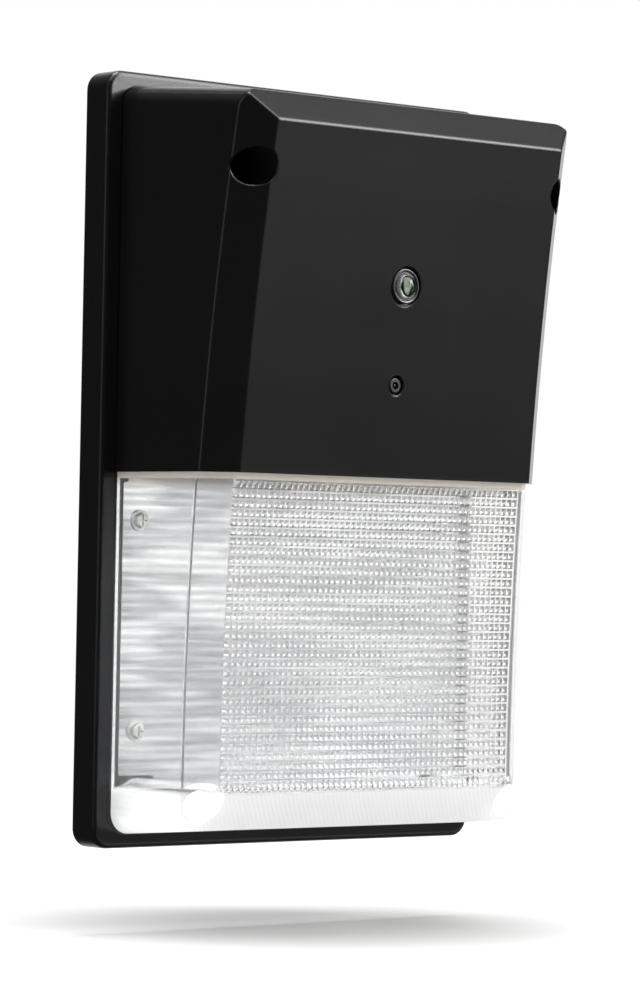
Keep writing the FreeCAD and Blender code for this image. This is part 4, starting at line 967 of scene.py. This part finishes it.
@dataclass
class Photocell(Assembly):
    """The dusk sensor in the front: a glossy bezel, a clear dome and the pale cell under it."""

    body: Body = Body.COVER
    sides: int = 64
    lip_width: float = 1.0 * MM
    lip_round: float = 0.42 * MM
    slope_width: float = 0.35 * MM
    slope_depth: float = 0.55 * MM
    dish_width: float = 0.5 * MM
    inner_lip_width: float = 0.2 * MM
    inner_lip_height: float = 0.35 * MM
    dome_gap: float = 0.1 * MM
    hole_overrun: float = 2.0 * MM
    dome_rise: float = 3.2 * MM
    dome_steps: int = 9
    cell_rim: float = 0.35 * MM
    cell_slope: float = 0.15 * MM
    cell_step: float = 0.2 * MM

    def dress(self) -> None:
        """Finishes the nodes that keep their shape."""
        self.paint(NYLON, "photocell_body", "photocell_nut")
        self.paint(FOAM, "photocell_gasket")

    def build(self) -> None:
        """Models the bezel, the dome and the cell."""
        self._bezel()
        self._dome()
        self._cell()

    def _disc(self, node: str, name: str) -> tuple[bpy.types.Object, Vector, Vector, float]:
        """A cylinder that fills a round node's box, with the box and its radius."""
        low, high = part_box(node)
        middle = (low + high) / 2
        radius = (high.x - low.x) / 2
        back = Vector((middle.x, high.y, middle.z))
        front = Vector((middle.x, low.y, middle.z))
        return Bench.rod(name, radius, back, front, self.sides), back, front, radius

    def _bezel(self) -> None:
        """A ring with a rolled outer lip, a stepped dish and the dome's bore."""
        ring, back, front, radius = self._disc("photocell_bezel", "photocell_ring")
        bore = (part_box("photocell_dome")[1].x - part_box("photocell_dome")[0].x) / 2 + self.dome_gap
        lip_inner_radius = radius - self.lip_width - OVERLAP
        with Bench.editing(ring, Element.FACE):
            Bench.pick_end(ring, Side.FRONT)
            for thickness, depth in (
                (self.lip_width, 0.0),
                (self.slope_width, -self.slope_depth),
                (self.dish_width, 0.0),
                (self.inner_lip_width, self.inner_lip_height),
            ):
                bpy.ops.mesh.inset(thickness=thickness, depth=depth)
            Bench.pick(
                ring,
                Element.EDGE,
                lambda edge: all(
                    abs(v.co.y - front.y) < NEAR and (v.co - front).length > lip_inner_radius
                    for v in edge.verts
                ),
            )
            bpy.ops.mesh.bevel(offset=self.lip_round, segments=4, affect="EDGES")
        past = Vector((0.0, self.hole_overrun, 0.0))
        hole = Bench.rod("hole", bore, back + past, front - past, self.sides)
        Bench.join(ring, hole, Operation.CUT)
        Bench.soften(ring, degrees=40.0)
        self.hand_in(ring, NYLON, "black_nylon", "photocell_bezel")

    def _dome(self) -> None:
        """A clear button: a short barrel with a round nose."""
        dome, _, front, _ = self._disc("photocell_dome", "photocell_button")
        rise = self.dome_rise
        turns = [step / self.dome_steps * QUARTER for step in range(self.dome_steps)]
        with Bench.editing(dome, Element.FACE):
            Bench.pick_end(dome, Side.FRONT)
            bpy.ops.transform.translate(value=(0.0, rise, 0.0))
            for before, turn in zip(turns, turns[1:]):
                lift = rise * (math.sin(turn) - math.sin(before))
                bpy.ops.mesh.extrude_region_move(
                    TRANSFORM_OT_translate={"value": (0.0, -lift, 0.0)}
                )
                shrink = math.cos(turn) / math.cos(before)
                bpy.ops.transform.resize(
                    value=(shrink, 1.0, shrink), center_override=(front.x, 0.0, front.z)
                )
            bpy.ops.transform.translate(value=(0.0, -rise * (1 - math.sin(turns[-1])), 0.0))
        Bench.soften(dome, degrees=40.0)
        self.hand_in(dome, DOME_CLEAR, "dome_acrylic", "photocell_dome")

    def _cell(self) -> None:
        """A disc with a raised rim."""
        cell, _, _, _ = self._disc("photocell_sensor", "photocell_cell")
        with Bench.editing(cell, Element.FACE):
            Bench.pick_end(cell, Side.FRONT)
            bpy.ops.mesh.inset(thickness=self.cell_rim, depth=0.0)
            bpy.ops.mesh.inset(thickness=self.cell_slope, depth=-self.cell_step)
        Bench.soften(cell, degrees=30.0)
        self.hand_in(cell, CELL, "sensor_face", "photocell_sensor")


@dataclass
class CentreScrew(Assembly):
    """The tamper-proof screw in the front: a button head, a socket and the pin that stands in it."""

    body: Body = Body.COVER
    head_height: float = 2.0 * MM
    head_round: float = 0.9 * MM
    socket_radius: float = 1.75 * MM
    socket_depth: float = 1.5 * MM
    socket_overrun: float = 1.0 * MM
    pin_radius: float = 0.55 * MM
    pin_below_front: float = 0.4 * MM
    pin_bevel: float = 0.15 * MM
    shank_radius: float = 2.0 * MM
    shank_bevel: float = 0.5 * MM

    def build(self) -> None:
        """Models the head, its socket and pin, and the shank."""
        low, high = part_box("centre_screw")
        middle = (low + high) / 2
        head_radius = (high.x - low.x) / 2

        def at(depth: float) -> Vector:
            """The point of the screw's axis that lies this far behind its front."""
            return Vector((middle.x, low.y + depth, middle.z))

        head = Bench.rod("pin_screw", head_radius, at(self.head_height), at(0.0))
        Bench.bevel_end(head, Side.FRONT, self.head_round, segments=5)
        socket = Bench.rod(
            "socket", self.socket_radius, at(self.socket_depth), at(-self.socket_overrun), sides=6
        )
        Bench.join(head, socket, Operation.CUT)
        foot = at(self.socket_depth + OVERLAP)
        pin = Bench.rod("pin", self.pin_radius, foot, at(self.pin_below_front), sides=24)
        Bench.bevel_end(pin, Side.FRONT, self.pin_bevel, segments=2)
        Bench.join(head, pin, Operation.FUSE)
        neck = at(self.head_height - OVERLAP)
        shank = Bench.rod("shank", self.shank_radius, at(high.y - low.y), neck, sides=32)
        Bench.bevel_end(shank, Side.WALL, self.shank_bevel, segments=1)
        Bench.join(head, shank, Operation.FUSE)
        Bench.soften(head, degrees=35.0)
        self.hand_in(head, DARK_STEEL, "screw_steel", "centre_screw")


# ---- the studio
@dataclass(frozen=True)
class FloorPaint(Finish):
    """A plain pale floor that fades out before its edge, keeps the lamps' shadow and adds a painted
    shadow under the wall pack.
    """

    pale: Colour = (0.55, 0.55, 0.55)
    fade_from: float = 0.45
    fade_to: float = 1.20
    glow: float = 0.62
    # painted shadow: the radii and centre offset of the disc where the camera's glow fades out
    painted_shadow_from: float = 0.03
    painted_shadow_to: float = 0.19
    painted_shadow_shift: tuple[float, float] = (0.020, -0.017)

    def shader(self, graph: Graph) -> bpy.types.NodeSocket:
        """Matt paint with a faint glow for the camera, left out under the wall pack as a painted
        shadow, clear towards its rim.
        """
        across, along, _ = graph.axes(graph.place())
        distance = graph.math("SQRT", across * across + along * along)
        matt = graph.node("ShaderNodeBsdfDiffuse", None, {"Color": self.pale}).outputs[0]
        # painted shadow: the camera's glow is 0 in a disc round the wall pack's foot and rises
        # outside it
        right, back = (axis - shift for axis, shift in zip((across, along), self.painted_shadow_shift))
        under = graph.math("SQRT", right * right + back * back)
        outside_painted_shadow = under.between(self.painted_shadow_from, self.painted_shadow_to)
        glow = graph.node(
            "ShaderNodeEmission", None, {"Color": WHITE, "Strength": outside_painted_shadow * self.glow}
        ).outputs[0]
        none = graph.node("ShaderNodeEmission", None, {"Strength": 0.0}).outputs[0]
        path = graph.node("ShaderNodeLightPath")
        seen = Signal(graph, path.outputs["Is Camera Ray"])
        gloss = Signal(graph, path.outputs["Is Glossy Ray"])
        lit = graph.node(
            "ShaderNodeAddShader", None, {0: matt, 1: graph.mix(seen, none, glow)}
        ).outputs[0]
        clear = graph.node("ShaderNodeBsdfTransparent").outputs[0]
        rim = distance.between(self.fade_from, self.fade_to)
        below = Signal(graph, graph.node("ShaderNodeNewGeometry").outputs["Backfacing"])
        shown = (1.0 - rim) * (1.0 - gloss) * (1.0 - below)
        return graph.mix(shown, clear, lit)


@dataclass(frozen=True)
class Lamp:
    """One soft box, which clear mouldings don't show as a bright square."""

    name: str
    place: tuple[float, float, float]
    size: tuple[float, float]
    watts: float
    colour: Colour = WHITE
    aim: tuple[float, float, float] = (0.0, -0.04, 0.0)

    def build(self) -> None:
        """Adds the lamp, aimed at the object's middle."""
        data = bpy.data.lights.new(self.name, "AREA")
        data.shape = "RECTANGLE"
        data.size, data.size_y = self.size
        data.energy = self.watts
        data.color = self.colour
        lamp = bpy.data.objects.new(self.name, data)
        bpy.context.scene.collection.objects.link(lamp)
        lamp.location = self.place
        lamp.visible_transmission = False
        beam = Vector(self.aim) - lamp.location
        lamp.rotation_euler = beam.to_track_quat("-Z", "Y").to_euler()


@dataclass(frozen=True)
class Room:
    """What surrounds the light: white for the camera, soft daylight for matt surfaces.

    Gloss and clear mouldings see a shaped room. Each span is the part of a direction's axis over
    which a region fades in or out: across is X, along is Y, height is Z.
    """

    ambient: float = 0.45
    right_across: Span = (-0.1, 0.6)
    right_along: Span = (0.0, 0.5)
    front_across: Span = (0.15, 0.5)
    front_along: Span = (-0.15, -0.5)
    table: tuple[Span, Span] = ((-0.11, -0.17), (-0.60, -0.30))
    band: tuple[Span, Span] = ((0.03, 0.07), (0.13, 0.08))
    box: tuple[Span, Span] = ((0.46, 0.58), (0.85, 0.65))
    above_height: Span = (0.60, 0.80)
    above_along: Span = (-0.10, -0.32)
    ceiling_height: Span = (0.3, 0.8)
    sky_height: Span = (0.12, 0.42)
    ground_height: Span = (-0.04, -0.34)
    walls_gloss: float = 0.05
    ceiling_gloss: float = 0.25
    band_gloss: float = 2.6
    box_gloss: float = 7.0
    above_gloss: float = 4.0
    walls_clear: float = 1.0
    sky_clear: float = 0.95
    ground_clear: float = 0.42
    right_clear: float = 0.20
    rosy: Colour = (1.0, 0.955, 0.93)

    def build(self) -> None:
        """Makes the world."""
        world = bpy.data.worlds.new("studio")
        world.use_nodes = True
        bpy.context.scene.world = world
        graph = Graph(world.node_tree)
        direction = graph.node("ShaderNodeTexCoord").outputs["Generated"]
        across, along, height = graph.axes(direction)
        path = graph.node("ShaderNodeLightPath")
        seen, gloss, through = (
            Signal(graph, path.outputs[f"Is {kind} Ray"])
            for kind in ("Camera", "Glossy", "Transmission")
        )
        back_right = across.between(*self.right_across) * along.between(*self.right_along)
        front_right = across.between(*self.front_across) * along.between(*self.front_along)
        table = height.window(*self.table)
        band = height.window(*self.band)
        box = height.window(*self.box)
        above = height.between(*self.above_height) * along.between(*self.above_along)
        sheen = (
            self.walls_gloss
            + self.ceiling_gloss * height.between(*self.ceiling_height)
            + front_right * (table + self.band_gloss * band + self.box_gloss * box)
            + self.above_gloss * above
            + back_right
        )
        clear = (
            self.walls_clear
            + self.sky_clear * height.between(*self.sky_height)
            - self.ground_clear * height.between(*self.ground_height)
            + self.right_clear * back_right
        )
        plain = (1.0 - seen) * (1.0 - gloss) * (1.0 - through)
        strength = seen + (1.0 - seen) * (
            through * clear + (1.0 - through) * gloss * sheen + plain * self.ambient
        )
        tint = graph.blend(through * back_right * (1.0 - seen), WHITE, self.rosy)
        shell = graph.node("ShaderNodeBackground", None, {"Color": tint, "Strength": strength})
        graph.output(shell.outputs[0])


@dataclass(frozen=True)
class Studio:
    """Camera, floor, soft boxes and the white room round them.

    The camera's angles are degrees, its sensor is millimetres wide, and its aim is metres across
    and up from the origin.
    """

    azimuth: float = 41.0
    tilt: float = -1.071
    roll: float = 1.088
    focal_pixels: float = 4128.007
    frame_height: float = 986.0
    sensor: float = 36.0
    distance: float = 1.769351
    aim_right: float = 0.02035
    aim_up: float = -0.011044
    floor_height: float = -0.196
    floor_radius: float = 1.3
    floor_sides: int = 96

    def build(self) -> None:
        """Sets the view, then builds everything."""
        bpy.context.scene.view_settings.view_transform = "Standard"
        self._camera()
        self._floor()
        Room().build()
        for lamp in (
            Lamp("overhead soft box", (0.0, -0.06, 1.45), (0.60, 0.50), 17.0),
            Lamp("right soft box", (1.15, -1.25, 0.75), (0.7, 0.9), 28.0, (1.0, 0.985, 0.97)),
            Lamp("left soft box", (-1.5, -0.35, 0.35), (0.35, 1.2), 2.2),
        ):
            lamp.build()

    def _camera(self) -> None:
        """The camera at the photograph's place and angle."""
        turn, lift = math.radians(self.azimuth), math.radians(self.tilt)
        look = Vector(
            (math.sin(turn) * math.cos(lift), math.cos(turn) * math.cos(lift), -math.sin(lift))
        )
        right = Vector((math.cos(turn), -math.sin(turn), 0.0))
        up = right.cross(look)
        rolled = math.radians(self.roll)
        across = right * math.cos(rolled) + up * math.sin(rolled)
        upward = up * math.cos(rolled) - right * math.sin(rolled)
        data = bpy.data.cameras.new("camera")
        data.sensor_width = self.sensor
        data.lens = self.focal_pixels / self.frame_height * self.sensor
        camera = bpy.data.objects.new("camera", data)
        bpy.context.scene.collection.objects.link(camera)
        place = right * self.aim_right + up * self.aim_up - look * self.distance
        turned = Matrix((across, upward, -look)).transposed().to_4x4()
        camera.matrix_world = Matrix.Translation(place) @ turned
        bpy.context.scene.camera = camera

    def _floor(self) -> None:
        """A round floor below the light."""
        Bench.clear()
        bpy.ops.mesh.primitive_circle_add(
            vertices=self.floor_sides,
            radius=self.floor_radius,
            fill_type="NGON",
            location=(0.0, 0.0, self.floor_height),
        )
        floor = Bench.settle(bpy.context.object, "floor")
        floor.data.materials.append(FloorPaint("pale floor").material())


def main() -> None:
    """Builds the parts in order, then the studio."""
    logging.basicConfig(level=logging.INFO, format="%(message)s")
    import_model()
    for part in (WallUnit(), Housing(), Lens(), Photocell(), CentreScrew()):
        part.dress()
        part.build()
    Studio().build()


if __name__ == "__main__":
    main()
